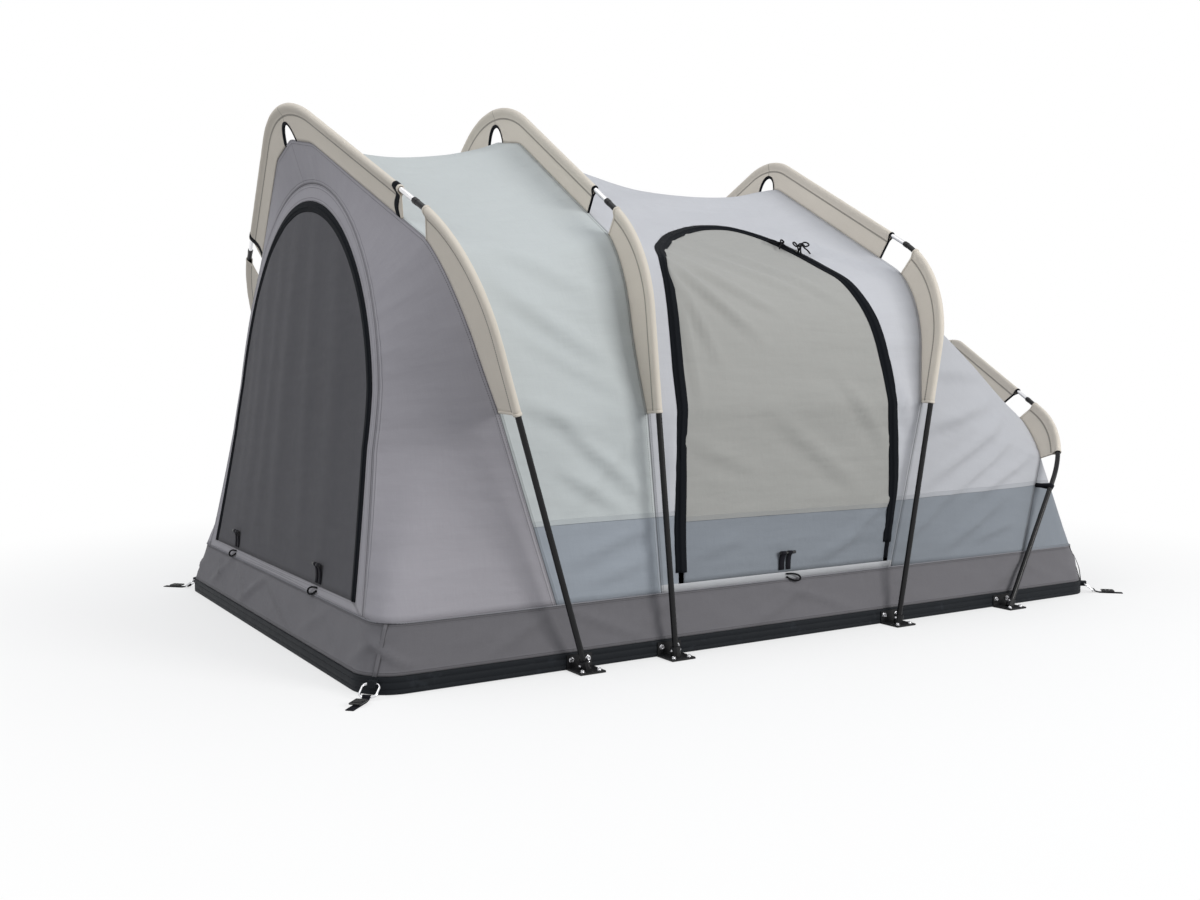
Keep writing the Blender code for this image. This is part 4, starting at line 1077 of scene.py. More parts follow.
def ring_of(edge):
    """The arch's outline closed along its sill, as (y, z)."""
    points = edge.outline()
    y, z = points[-1]
    return points + [(y - 2 * y * i / SILL_STEPS, z) for i in range(1, SILL_STEPS)]


def make_rear_wall():
    """The frame of cloth round the window, and the window in it."""
    outer = ring_of(REAR_EDGE)
    inner = ring_of(WINDOW_EDGE)
    rows = []
    for (y, z), (v, w) in zip(outer, inner):
        rows.append([rear_point(y + (v - y) * j / ARCH_COLUMNS, z + (w - z) * j / ARCH_COLUMNS)
                     for j in range(ARCH_COLUMNS + 1)])
    wall = grid_cloth("rear_wall_cloth", rows, "end_wall", lambda place: REAR_OUT, closed=True)
    join_tent(wall, nodes=["rear_wall"])
    sheet(wall, rows + [rows[0]], ["rear_corner_cloth"])
    make_window()


def window_folds(y, z):
    """Height of the window cloth's soft vertical folds, outwards."""
    height = (z - WINDOW_SILL) / (WINDOW_TOP - WINDOW_SILL)
    wave = 0.0
    for centre, width, size in ((-0.30, 0.045, 0.005), (-0.15, 0.035, 0.004), (0.02, 0.05, 0.006),
                                (0.17, 0.04, 0.004), (0.31, 0.05, 0.005), (0.40, 0.03, 0.003)):
        drift = centre * (1 - 0.15 * height) + 0.02 * math.sin(3 * z + centre * 9)
        wave += size * math.exp(-((y - drift) / width) ** 2)
    return (wave - 0.003) * math.sin(math.pi * min(max(height, 0.0), 1.0)) ** 0.6


def make_window():
    """Window panel with its folds, and the zip round it."""
    edge = WINDOW_EDGE.inset(0.012, WINDOW_SILL + SEAM)
    line = edge.outline()
    half = len(line) // 2
    rows = []
    for (y, z), (far_y, _) in zip(line[:half + 1], line[::-1]):
        row = []
        for j in range(WINDOW_COLUMNS + 1):
            column = y + (far_y - y) * j / WINDOW_COLUMNS
            calm = eased(min(abs(column - y), abs(far_y - column)), CALM_EDGE)
            row.append(rear_point(column, z, -window_folds(column, z) * calm))
        rows.append(row)
    panel = grid_cloth("window_panel_cloth", rows, "window", lambda place: REAR_OUT, sewn=False)
    join_tent(panel, "window", ["window_panel"])
    sheet(panel, rows, ["rear_wall_cloth"])
    sections = [(-0.0015, 0.0008), (0.0025, 0.0016), (0.0080, 0.0018), (0.0088, 0.0034), (0.0132, 0.0034),
                (0.0140, 0.0018), (0.0195, 0.0016), (0.0235, 0.0008)]
    edges = [WINDOW_EDGE.inset(offset, WINDOW_SILL + SEAM).outline() for offset, _ in sections]
    rows = []
    for places in zip(*edges):
        rows.append([rear_point(y, z, -lift) for (y, z), (_, lift) in zip(places, sections)])
    band = grid_cloth("window_zip_tape", rows, "zip", lambda place: REAR_OUT, thick=ZIP_THICK)
    join_tent(band, "window", ["window_zip"])
    sheet(band, rows, ["window_panel_cloth"])


def rounded_turn(start, corner, end, radius, steps):
    """Points from start to end round a corner, evenly spaced."""
    first = min(radius, TURN_MOST * (start - corner).length)
    second = min(radius, TURN_MOST * (end - corner).length)
    a = corner + (start - corner).normalized() * first
    b = corner + (end - corner).normalized() * second
    points = [start]
    for i in range(13):
        share = i / 12
        points.append(a.lerp(corner, share).lerp(corner.lerp(b, share), share))
    return spread(points + [end], steps)


def make_rear_corner():
    """Curved cloth from the rear wall's arched edge round the corners and up to the first hoop."""
    hoop = HOOPS[0]
    edge = REAR_EDGE.inset(-SEAM, BODY_FOOT)
    rows = []
    inwards = []
    for mark in MARKS:
        point, toward = hoop.seam(mark)
        end = point - hoop.across() * SEAM / 2
        y, z = edge.facing(point)
        start = rear_point(y, z)
        wall_in = (rear_point(y, z, 1.0) - start).normalized()
        corner = Vector((rear_point(0, end.z).x, end.y, end.z))
        bulge = max(1 - (z - BODY_FOOT) / GUSSET_FLAT_RISE, 0.0) ** 2
        bent = rounded_turn(start, corner, end, TUB_CORNER_TOP, REAR_CORNER_COLUMNS)
        row = []
        inward = []
        for j, place in enumerate(bent):
            share = j / REAR_CORNER_COLUMNS
            row.append(start.lerp(end, share).lerp(place, bulge))
            inward.append(wall_in.lerp(toward, share).normalized())
        rows.append(row)
        inwards.append(inward)
    rows = wrinkled(rows, inwards, None, 12.0, 0.0025)
    gusset = grid_cloth("rear_corner_cloth", rows, "end_corner", from_axis)
    join_tent(gusset, nodes=["rear_gusset"])
    sheet(gusset, rows, ["top_sleeve_cloth_1", "rear_wall_cloth"])
    make_rear_tie(tree_of(rows))


def front_edge(mark):
    """The tub's top edge at a mark, from the last hoop's -Y foot round the front, and the way in."""
    side = 1
    if mark > LAST_MARK / 2:
        mark = LAST_MARK - mark
        side = -1
    hoop = HOOPS[-1]
    start_x = hoop.seam(0)[0].x
    turn = TUB_HALF_LENGTH - TUB_CORNER_TOP
    if mark <= 2:
        x = start_x + (turn - start_x) * mark / 2
        return Vector((x, -side * TUB_HALF_WIDTH, BODY_FOOT)), Vector((0, side, 0))
    if mark <= 6:
        angle = -math.pi / 2 + math.pi / 2 * (mark - 2) / 4
        outward = Vector((math.cos(angle), math.sin(angle) * side, 0))
        centre = Vector((turn, side * (TUB_CORNER_TOP - TUB_HALF_WIDTH), BODY_FOOT))
        return centre + outward * TUB_CORNER_TOP, -outward
    y = (TUB_CORNER_TOP - TUB_HALF_WIDTH) * (1 - (mark - 6) / 6)
    return Vector((TUB_HALF_LENGTH, side * y, BODY_FOOT)), Vector((-1, 0, 0))


def make_front_wall():
    """Cloth from the tub's front edge up to the last hoop."""
    hoop = HOOPS[-1]
    rows = []
    inwards = []
    for mark in MARKS:
        foot, foot_in = front_edge(mark)
        point, toward = hoop.seam(mark)
        end = point + hoop.across() * SEAM / 2
        row = []
        inward = []
        for j in range(FRONT_WALL_COLUMNS + 1):
            share = j / FRONT_WALL_COLUMNS
            row.append(foot.lerp(end, share))
            inward.append(foot_in.lerp(toward, share).normalized())
        rows.append(row)
        inwards.append(inward)
    rows[0] = [point.lerp(after, 0.02) for point, after in zip(rows[0], rows[1])]
    rows[-1] = [point.lerp(before, 0.02) for point, before in zip(rows[-1], rows[-2])]
    rows = wrinkled(rows, inwards, None, 15.0, 0.003)
    wall = grid_cloth("front_wall_cloth", rows, "front_wall", lambda place: Vector((1, 0, 0.4)))
    join_tent(wall, nodes=["front_wall"])
    sheet(wall, rows, ["top_sleeve_cloth_4"])


# Sleeves and poles

def sleeve_row(hoop, distance, pocket, fin_shift=0.0, lift=0.0):
    """Outer line of a sleeve's section: up one face of the fin, over the pole and down the other face."""
    point, toward = hoop.pole_at(distance)
    across = hoop.across()
    reach = hole_reach(hoop, distance)
    root = min(FIN_ROOT, reach * 0.75)
    half = FIN_HALF + lift
    round_r = pocket + lift
    side = []
    for i in range(SLEEVE_FACE_STEPS + 1):
        side.append((reach + (root - reach) * (i / SLEEVE_FACE_STEPS), half))
    for i in range(1, 5):
        side.append((root * (1 - i / 5), half + (round_r - half) * eased(i / 5, 1)))
    arc = []
    for i in range(9):
        angle = math.pi / 2 + math.pi * i / 8
        arc.append((round_r * math.cos(angle), round_r * math.sin(angle)))
    row = []
    for u, w in side + arc + [(u, -w) for u, w in side[::-1]]:
        inner = min(max((u - root) / max(reach - root, 1e-6), 0.0), 1.0)
        row.append(point + toward * u + across * (w + fin_shift * math.sin(math.pi * inner)))
    return row


def hole_reach(hoop, distance):
    """How deep the fin goes: to the body, but only to the hole's edge at the apex."""
    depth = hoop.fin(distance) + 0.0008
    away = abs(distance - hoop.length) / HOLE_HALF
    if away >= 1:
        return depth
    return HOLE_TOP + (depth - HOLE_TOP) * away ** HOLE_CURVE


def make_sleeve(name, hoop, start, end, pole_radius, nodes):
    """Sewn sleeve over the pole from the one distance to the other, with its stitched pocket."""
    count = int((end - start) / SLEEVE_STEP)
    rows = []
    for i in range(count + 1):
        distance = start + (end - start) * i / count
        shift = 0.0016 * noise.noise(Vector((distance * 9, hoop.number * 3.1, 0)))
        shift *= eased(min(distance - start, end - distance), CALM_EDGE)
        pocket = pole_radius + SLEEVE_EASE + 0.0004 * noise.noise(Vector((distance * 30, hoop.number, 2)))
        rows.append(sleeve_row(hoop, distance, pocket, shift))
    lines = [runs_along(row[:SLEEVE_FACE_STEPS + 1])[-1] for row in rows]
    sleeve = grid_cloth(name, rows, "sleeve", off_plane(hoop), stitch_line=lines)
    join_tent(sleeve, nodes=nodes)
    sheet(sleeve, rows, [f"bow_tube_{hoop.number}"])


def off_plane(hoop):
    """Outwards from the hoop's plane."""
    across = hoop.across()
    level = hoop.pole_at(hoop.length)[0].dot(across)
    return lambda place: across * (place.dot(across) - level)


def end_band(name, hoop, distance, inward_run, pole_radius):
    """Wide black tape sewn round a sleeve a little in from its end, with an S in its line."""
    rows = []
    for run, proud in ((0.0055, 0.0), (0.0060, 0.0012), (0.0115, 0.0014), (0.0170, 0.0014), (0.0225, 0.0012),
                       (0.0230, 0.0)):
        places = [distance + inward_run * (run + nudge) for nudge in (-0.003, 0.003)]
        low, high = (sleeve_row(hoop, place, pole_radius + SLEEVE_EASE, lift=proud) for place in places)
        row = []
        for j, (first, second) in enumerate(zip(low, high)):
            down = min(j, len(low) - 1 - j) / 13
            row.append(first.lerp(second, 0.5 + 1.1 * math.sin(2 * math.pi * min(down, 1.0))))
        rows.append(row)
    join_tent(grid_cloth(name, rows, "binding", off_plane(hoop), thick=0.0))


def end_binding(name, hoop, distance, inward_run, width, pole_radius, look="sleeve"):
    """Tape folded over a sleeve's end: inside, round the edge and back along the outside."""
    runs = [(0.004, -0.0012), (0.0, -0.0010), (-0.0008, 0.0), (0.0, TAPE_LIFT), (width / 2, TAPE_LIFT),
            (width, TAPE_LIFT), (width + 0.0002, 0.0)]
    rows = [sleeve_row(hoop, distance + inward_run * run, pole_radius + SLEEVE_EASE, lift=proud)
            for run, proud in runs]
    tape = grid_cloth(name, rows, look, off_plane(hoop), thick=0.0)
    join_tent(tape)


def make_hole_binding(hoop):
    """Black tape folded over the edge of the hole at the apex."""
    steps = 36
    section = [(-0.0055, 0.0024), (0.0, 0.0026), (0.0014, 0.0016), (0.0018, 0.0), (0.0014, -0.0016),
               (0.0, -0.0026), (-0.0055, -0.0024)]
    rows = []
    ways = []
    for i in range(steps + 1):
        distance = hoop.length - HOLE_HALF + 2 * HOLE_HALF * i / steps
        point, toward = hoop.pole_at(distance)
        edge = point + toward * hole_reach(hoop, distance)
        rows.append([edge + toward * u + hoop.across() * w for u, w in section])
        ways.append(toward)
    tape = grid_cloth(f"hole_binding_{hoop.number}", rows, "binding", lambda place: ways[steps // 3])
    join_tent(tape)


def pole_line(hoop, start, end, steps, side=-1):
    """Points of a pole's middle line between two distances up from the foot of a side."""
    return [hoop.pole_at(hoop.up_from(start + (end - start) * i / steps, side))[0] for i in range(steps + 1)]


def make_hoop(hoop):
    """Poles, collars and sleeves of one hoop."""
    number = hoop.number
    first = number == 1
    line = pole_line(hoop, hoop.pole, 2 * hoop.length - hoop.pole, 90)
    line[0] = line[0].lerp(line[1], 0.02)
    line[-1] = line[-1].lerp(line[-2], 0.02)
    bow = tube(f"bow_tube_{number}", line, BOW_R, "bright_pole", sides=16)
    join_tent(bow, nodes=[f"bow_pole_{number}"])
    for side, label in SIDES:
        line = pole_line(hoop, POLE_END, hoop.pole, 60, side)
        pole = tube(f"side_tube_{number}_{label}", line, SIDE_POLE_R, "dark_pole", sides=16)
        join_tent(pole, nodes=[f"side_pole_{number}_{label}"])
        line = pole_line(hoop, hoop.pole - 0.002, hoop.pole - 0.014, 4, side)
        collar = tube(f"pole_collar_{number}_{label}", line, SIDE_POLE_R + 0.0006, "dark_pole", sides=16)
        join_tent(collar)
    make_sleeve(f"top_sleeve_cloth_{number}", hoop, hoop.high, 2 * hoop.length - hoop.high, BOW_R,
                [f"top_sleeve_{number}"])
    make_hole_binding(hoop)
    for side, label in SIDES:
        bare, low, high = (hoop.up_from(distance, side) for distance in (hoop.bare, hoop.low, hoop.high))
        start, end = sorted((bare, low))
        make_sleeve(f"side_sleeve_cloth_{number}_{label}", hoop, start, end, SIDE_POLE_R,
                    [f"side_sleeve_{number}_{label}"])
        end_binding(f"top_end_tape_{number}_{label}", hoop, high, -side, 0.005 if first else 0.003, BOW_R,
                    "sleeve" if first else "binding")
        if first:
            end_band(f"top_end_band_{label}", hoop, high, -side, BOW_R)
        end_binding(f"low_end_tape_{number}_{label}", hoop, bare, -side, 0.005, SIDE_POLE_R)
        end_binding(f"side_end_tape_{number}_{label}", hoop, low, side, 0.005, SIDE_POLE_R)


# The tub

def rounded_plan(half_x, half_y, radius):
    """Plan outline, anticlockwise from the +X side, with even steps on the straights."""
    corners = [(1, 1), (-1, 1), (-1, -1), (1, -1)]

    def on_arc(k, turn):
        sx, sy = corners[k % 4]
        angle = math.pi / 2 * turn
        return Vector((sx * (half_x - radius) + radius * math.cos(angle),
                       sy * (half_y - radius) + radius * math.sin(angle)))

    points = []
    for k, straight in enumerate(PLAN_STRAIGHTS):
        points += [on_arc(k, k + i / PLAN_ARC) for i in range(PLAN_ARC)]
        last = on_arc(k, k + 1)
        after = on_arc(k + 1, k + 1)
        points += [last.lerp(after, i / straight) for i in range(straight)]
    return points


def plan_outward(plan, i):
    """Outward direction at a point of a plan outline."""
    ahead = plan[(i + 1) % len(plan)] - plan[i - 1]
    return Vector((ahead.y, -ahead.x, 0)).normalized()


def tub_place(low, high, share):
    """Place that share of the way up the tub's flat wall, between its lower and its upper edge."""
    place = low.lerp(high, share)
    return Vector((place.x, place.y, TUB_FLOOR + (TUB_TOP - TUB_FLOOR) * share))


def tub_slack(run, share):
    """Slack folds of the tub's wall, outwards: rows of soft ridges that lean one way or the other."""
    total = 0.0
    for lean, spacing, half, size in ((0.24, 0.27, 0.018, 0.0085), (-0.17, 0.36, 0.022, 0.0080),
                                      (0.09, 0.12, 0.010, 0.0026)):
        place = (run + lean * share) / spacing + 0.5 * noise.noise(Vector((run * 1.7, spacing * 9, 0)))
        strength = max(0.55 + 1.1 * noise.noise(Vector((math.floor(place) * 1.37, spacing * 31, 2.0))), 0.1)
        total += size * strength * math.exp(-(((place % 1.0) - 0.5) * spacing / half) ** 2)
    total += 0.0012 * noise.noise(Vector((run * 14, share * 3, 5.0)))
    return (total - 0.0012) * math.sin(math.pi * share) ** 0.8


def make_tub():
    """Walls with their slack, the floor, and the piping round the top."""
    low = rounded_plan(BASE_LENGTH / 2 - 0.0005, BASE_WIDTH / 2 - 0.0005, BASE_CORNER)
    high = rounded_plan(TUB_HALF_LENGTH, TUB_HALF_WIDTH, TUB_CORNER_TOP)
    runs = runs_along(low)
    rows = []
    for i, run in enumerate(runs):
        outward = plan_outward(low, i)
        row = []
        for j in range(TUB_LEVELS + 1):
            share = j / TUB_LEVELS
            row.append(tub_place(low[i], high[i], share) + outward * (tub_slack(run, share) - 0.0004))
        rows.append(row)
    walls = grid_cloth("tub_wall_cloth", rows, "tub", lambda place: Vector((*place.xy, 0)), closed=True)
    join_tent(walls, nodes=["tub"])
    area = flat_area(rows + [rows[0]])[0]
    declare(walls, runs[-1], area / runs[-1], area, ["floor_panel"])
    rows = []
    for i in range(FLOOR_ROWS + 1):
        x = (BASE_LENGTH - 0.01) * (i / FLOOR_ROWS - 0.5)
        inside = max(abs(x) - (BASE_LENGTH / 2 - BASE_CORNER), 0.0)
        half = BASE_WIDTH / 2 - 0.005 - BASE_CORNER + math.sqrt(max(BASE_CORNER ** 2 - inside ** 2, 0.0))
        row = []
        for j in range(FLOOR_COLUMNS + 1):
            y = half * (2 * j / FLOOR_COLUMNS - 1)
            row.append(Vector((x, y, TUB_FLOOR + 0.0018 + 0.0012 * noise.noise(Vector((x * 5, y * 5, 0))))))
        rows.append(row)
    floor = grid_cloth("tub_floor_cloth", rows, "tub", lambda place: UP)
    join_tent(floor)
    sheet(floor, rows, ["floor_panel"], held="laid")
    line = [Vector((*place, TUB_TOP)) + plan_outward(high, i) * 0.0010 for i, place in enumerate(high)]
    join_tent(tube("tub_piping", line, 0.0016, "piping", closed=True, sides=8))
    make_corner_seams(low, high)


def make_corner_seams(low, high):
    """Sewn ridge up each corner of the tub."""
    index = PLAN_ARC // 2
    for k, straight in enumerate(PLAN_STRAIGHTS, start=1):
        p, q = low[index], high[index]
        outward = Vector((math.copysign(1, p.x), math.copysign(1, p.y), 0)).normalized()
        points = [tub_place(p, q, j / 8) + outward * 0.0008 for j in range(9)]
        ridge = strip(f"tub_corner_seam_{k}", points, [outward] * len(points), 0.010, "tub", bulge=0.0010)
        join_tent(ridge)
        index += PLAN_ARC + straight


# Fittings

def pick(obj, kind, test):
    """Go into edit mode with only the faces or edges that pass the test selected."""
    only(obj)
    bpy.ops.object.mode_set(mode="EDIT")
    bpy.ops.mesh.select_mode(type=kind)
    bpy.ops.mesh.select_all(action="DESELECT")
    bpy.ops.object.mode_set(mode="OBJECT")
    for item in (obj.data.polygons if kind == "FACE" else obj.data.edges):
        item.select = test(item)
    bpy.ops.object.mode_set(mode="EDIT")


def pick_faces(obj, test):
    pick(obj, "FACE", test)


def leave_edit():
    bpy.ops.object.mode_set(mode="OBJECT")


def soften(obj, width, segments=2):
    """Round the sharp edges and shade the rest smooth."""
    apply_modifier(obj, "BEVEL", width=width, segments=segments, limit_method="ANGLE",
                   angle_limit=math.radians(30))
    only(obj)
    bpy.ops.object.shade_smooth_by_angle(angle=math.radians(35))


def dressed(obj, name, look):
    obj.name = name
    obj.data.name = name
    obj.data.materials.clear()
    obj.data.materials.append(LOOKS[look])
    return obj


def place_along(point, up, side):
    """Frame at a point with z along up and x as near as can be to side."""
    z = up.normalized()
    y = z.cross(side).normalized()
    x = y.cross(z)
    return Matrix.Translation(point) @ Matrix((x, y, z)).transposed().to_4x4()


def make_bolt():
    """Cap screw on its washer, standing on the origin."""
    nothing_selected()
    bpy.ops.mesh.primitive_cylinder_add(vertices=24, radius=0.0062, depth=0.001, location=(0, 0, 0.0005))
    bolt = bpy.context.object
    pick_faces(bolt, lambda face: face.normal.z > 0.9)
    bpy.ops.mesh.inset(thickness=0.0018)
    bpy.ops.mesh.extrude_region_move(TRANSFORM_OT_translate={"value": (0, 0, 0.0034)})
    bpy.ops.mesh.inset(thickness=0.0019)
    bpy.ops.mesh.extrude_region_move(TRANSFORM_OT_translate={"value": (0, 0, -0.002)})
    leave_edit()
    soften(settle(bolt), 0.0004)
    return dressed(bolt, "bolt", "bolt")


PIN_UP = 0.016


def make_brackets():
    """Screws through each foot bracket, and the pin through its boss."""
    bolt = make_bolt()
    for hoop in HOOPS:
        for side, label in SIDES:
            places = []
            for dx in (-0.020, 0.020):
                spot = Vector((hoop.ground_x + dx, side * (BASE_WIDTH / 2 + 0.0043), 0.020))
                places.append(place_along(spot, Vector((0, side, 0)), Vector((1, 0, 0))))
                spot = Vector((hoop.ground_x + dx, side * (BASE_WIDTH / 2 + 0.049), 0.004))
                places.append(place_along(spot, UP, Vector((1, 0, 0))))
            point, _ = hoop.pole_at(hoop.up_from(PIN_UP, side))
            for way in (hoop.across() * -1, hoop.across()):
                pin_end = place_along(point + way * 0.0105, way, Vector((0, 1, 0)))
                places.append(pin_end @ Matrix.Scale(0.6, 4))
            copies = [copy_to(bolt, "bolt_copy", place) for place in places]
            join_tent(joined(f"bracket_screws_{hoop.number}_{label}", copies))
    bpy.data.objects.remove(bolt)


# Edge profile round the base
RAIL_PROUD = 0.0018
RAIL_FOOT = 0.0004
RAIL_TOP = 0.0345
RAIL_LIP = 0.0014
RAIL_GROOVES = ((0.0088, 0.0112), (0.0228, 0.0252))
RAIL_GROOVE_DEEP = 0.0009


def pick_edges(obj, test):
    """As pick, with a test on the places of the edge's two ends."""
    pick(obj, "EDGE", lambda edge: test(*(obj.data.vertices[index].co for index in edge.vertices)))


def make_edge_rail():
    """Grooved edge profile round the base, open towards it."""
    nothing_selected()
    size = (BASE_LENGTH + 2 * RAIL_PROUD, BASE_WIDTH + 2 * RAIL_PROUD, RAIL_TOP - RAIL_FOOT)
    bpy.ops.mesh.primitive_cube_add(size=1, location=(0, 0, (RAIL_TOP + RAIL_FOOT) / 2), scale=size)
    rail = settle(bpy.context.object)
    pick_edges(rail, lambda a, b: abs(a.z - b.z) > size[2] / 2)
    bpy.ops.mesh.bevel(offset=BASE_CORNER + RAIL_PROUD, segments=12, affect="EDGES")
    leave_edit()
    pick_faces(rail, lambda face: abs(face.normal.z) > 0.9)
    bpy.ops.mesh.inset(thickness=RAIL_LIP)
    bpy.ops.mesh.delete(type="FACE")
    for height in (edge for groove in RAIL_GROOVES for edge in groove):
        bpy.ops.mesh.select_all(action="SELECT")
        bpy.ops.mesh.bisect(plane_co=(0, 0, height), plane_no=(0, 0, 1))
    leave_edit()
    pick_faces(rail, lambda face: any(low < face.center.z < high for low, high in RAIL_GROOVES))
    bpy.ops.mesh.extrude_region_shrink_fatten(TRANSFORM_OT_shrink_fatten={"value": -RAIL_GROOVE_DEEP})
    leave_edit()
    soften(rail, 0.0004)
    join_tent(dressed(rail, "base_edge_rail", "base"))


# Rings, webbing and buckles at the base's corners
RING_HALF = 0.0175
RING_DEEP = 0.032
RING_CORNER = 0.0085
RING_WIRE = 0.0025
RING_SLOPE = math.radians(35.0)
RING_OUT = 0.010
RING_HEIGHT = 0.024
STRAP_WIDTH = 0.016
STRAP_THICK = 0.0025
STRAP_TURN = 0.0044
BUCKLE_HALF = 0.0105


def corner_frame(sx, sy):
    """Frame at a corner lug: x along the ring's bar, y straight out from the corner, z up."""
    outward = Vector((sx, sy, 0)).normalized()
    centre = Vector((sx * (BASE_LENGTH / 2 - BASE_CORNER), sy * (BASE_WIDTH / 2 - BASE_CORNER), RING_HEIGHT))
    turn = Matrix((Vector((outward.y, -outward.x, 0)), outward, UP)).transposed()
    return Matrix.Translation(centre + outward * (BASE_CORNER + RING_OUT)) @ turn.to_4x4()


def make_corner_ties():
    """Wire ring at each corner with its webbing and a ladder buckle."""
    slope = Matrix.Rotation(-RING_SLOPE, 4, "X")
    plan = rounded_plan(RING_HALF, RING_DEEP / 2, RING_CORNER)
    ring_path = [slope @ Vector((p.x, p.y + RING_DEEP / 2, 0)) for p in plan[::4]]
    eye = slope @ Vector((0, RING_DEEP, 0))
    low = STRAP_THICK / 2 + 0.0003 - RING_HEIGHT
    strap_line = []
    for i in range(15):
        angle = math.radians(230.0 - 250.0 * i / 14)
        strap_line.append(eye + Vector((0, math.cos(angle), math.sin(angle))) * STRAP_TURN)
    bend = eye.y + 0.016
    strap_line += [strap_line[-1].lerp(Vector((0, bend, low)), share) for share in (0.35, 0.7)]
    strap_line += [Vector((0, bend + run, low)) for run in (0.0, 0.004, 0.012, 0.024, 0.036, 0.048, 0.060)]
    edge = [Vector((x, bend + y, low + 0.0045)) for x, y in
            ((-BUCKLE_HALF, 0.006), (BUCKLE_HALF, 0.006), (BUCKLE_HALF, 0.036), (-BUCKLE_HALF, 0.036))]
    edge = smooth_line(evenly_closed(edge, 0.003), 2, closed=True)
    for index, (sx, sy) in enumerate(((-1, -1), (-1, 1), (1, -1), (1, 1)), start=1):
        body = f"corner_tie_{index}"
        here = corner_frame(sx, sy)
        ring = tube(f"tie_ring_{index}", [here @ p for p in ring_path], RING_WIRE, "bright_wire", closed=True,
                    sides=14)
        join_tent(ring, body, [f"corner_ring_{index}"])
        ways = []
        for i in range(len(strap_line)):
            ahead = strap_line[min(i + 1, len(strap_line) - 1)] - strap_line[max(i - 1, 0)]
            ways.append(here.to_3x3() @ Vector((0, -ahead.z, ahead.y)).normalized())
        strap = strip(f"tie_webbing_{index}", [here @ p for p in strap_line], ways, STRAP_WIDTH, "webbing",
                      thick=0.002, columns=2)
        join_tent(strap, body, [f"tie_strap_{index}"])
        bars = [tube("bar", [here @ p for p in edge], 0.0021, "plastic", closed=True)]
        for y in (0.016, 0.026):
            ends = [Vector((x, bend + y, low + 0.0050)) for x in (-BUCKLE_HALF, 0.0, BUCKLE_HALF)]
            bars.append(tube("bar", [here @ p for p in ends], 0.0020, "plastic"))
        join_tent(joined(f"tie_buckle_{index}", bars), body)


def evenly_closed(points, step):
    """Closed line with even spacing."""
    result = []
    for p, q in zip(points, points[1:] + points[:1]):
        count = max(int((q - p).length / step), 1)
        result += [p.lerp(q, i / count) for i in range(count)]
    return result


def make_toggle_bar():
    """Round bar of the toggles, lying along x on the origin, with rounded ends."""
    nothing_selected()
    bpy.ops.mesh.primitive_cylinder_add(vertices=20, radius=TOGGLE_BAR_R, depth=TOGGLE_BAR,
                                        location=(0, 0, 0), rotation=(0, math.pi / 2, 0))
    bar = settle(bpy.context.object)
    pick_faces(bar, lambda face: abs(face.normal.x) > 0.9)
    bpy.ops.mesh.inset(thickness=0.0012)
    leave_edit()
    soften(bar, 0.0012, 3)
    return dressed(bar, "toggle_bar", "plastic")


def toggle_leg(x):
    """Webbing of one leg: up from the sill and over the bar, as points and outward directions."""
    height = TOGGLE_HEIGHT - TOGGLE_BAR_R
    points = [Vector((x, y, 0.0016)) for y in (0.0, 0.008, 0.018)] + [Vector((x, 0.029, 0.0030))]
    ways = [UP] * 3 + [Vector((0, -0.25, 1)).normalized()]
    for i in range(1, 9):
        angle = math.radians(200 - 205 * i / 8)
        way = Vector((0, math.cos(angle), math.sin(angle)))
        points.append(Vector((x, height, TOGGLE_BAR_R + 0.0012)) + way * (TOGGLE_BAR_R + 0.0006))
        ways.append(way)
    return points, ways


def tab_frame(root, up, outward):
    """Frame of a tab on a cloth: y up along it, z outwards."""
    y = (up - outward * up.dot(outward)).normalized()
    x = y.cross(outward)
    return Matrix.Translation(root) @ Matrix((x, y, outward)).transposed().to_4x4()


def free_cord(name, points, radius, body):
    """Thin limp cord through points."""
    path = smooth_line(points)
    cord = tube(name, path, radius, "cord", sides=8)
    join_tent(cord, body)


TOGGLE_LOOP = [(0.004, -0.0105, 0.0010), (0.012, -0.0106, 0.0018), (0.021, -0.0112, 0.0022),
               (0.030, -0.0128, 0.0040), (0.038, -0.0168, 0.0065), (0.0415, -0.0225, 0.0075),
               (0.038, -0.0275, 0.0065), (0.030, -0.0280, 0.0048), (0.021, -0.0255, 0.0034),
               (0.012, -0.0215, 0.0022), (0.005, -0.0175, 0.0014)]


def make_toggle(label, here, body, bar, way):
    """Toggle on a cloth: two webbing legs over a bar, and a loop that hangs over the sill to one side."""
    legs = []
    for x, width in ((-0.0105 * way, 0.0155), (0.0095 * way, 0.0130)):
        points, ways = toggle_leg(x)
        legs.append(strip("leg", [here @ p for p in points], [here.to_3x3() @ w for w in ways], width,
                          "webbing", thick=0.0014, columns=2))
    join_tent(joined(f"toggle_webbing_{label}", legs), body, [body])
    spot = here @ Matrix.Translation((0.004 * way, TOGGLE_HEIGHT - TOGGLE_BAR_R, TOGGLE_BAR_R + 0.0012))
    join_tent(copy_to(bar, f"toggle_bar_{label}", spot), body)
    free_cord(f"toggle_loop_{label}", [here @ Vector((x * way, y, z)) for x, y, z in TOGGLE_LOOP], 0.0021,
              "tent")


def make_toggles(door_tree):
    """The door's toggle and the window's two."""
    bar = make_toggle_bar()
    point, outward = on_side(door_tree, DOOR_TOGGLE_X, DOOR_SILL + SEAM + TOGGLE_RISE)
    make_toggle("door", tab_frame(point + outward * 0.0014, UP, outward), "door_toggle", bar, 1)
    for side, label in ((-1, "near"), (1, "far")):
        foot = (side * WINDOW_TOGGLE_Y, WINDOW_SILL + SEAM + TOGGLE_RISE)
        root = rear_point(*foot, -0.0016)
        outward = (root - rear_point(*foot, 1.0)).normalized()
        make_toggle(f"window_{label}", tab_frame(root, UP, outward), f"window_toggle_{label}", bar, -1)
    bpy.data.objects.remove(bar)


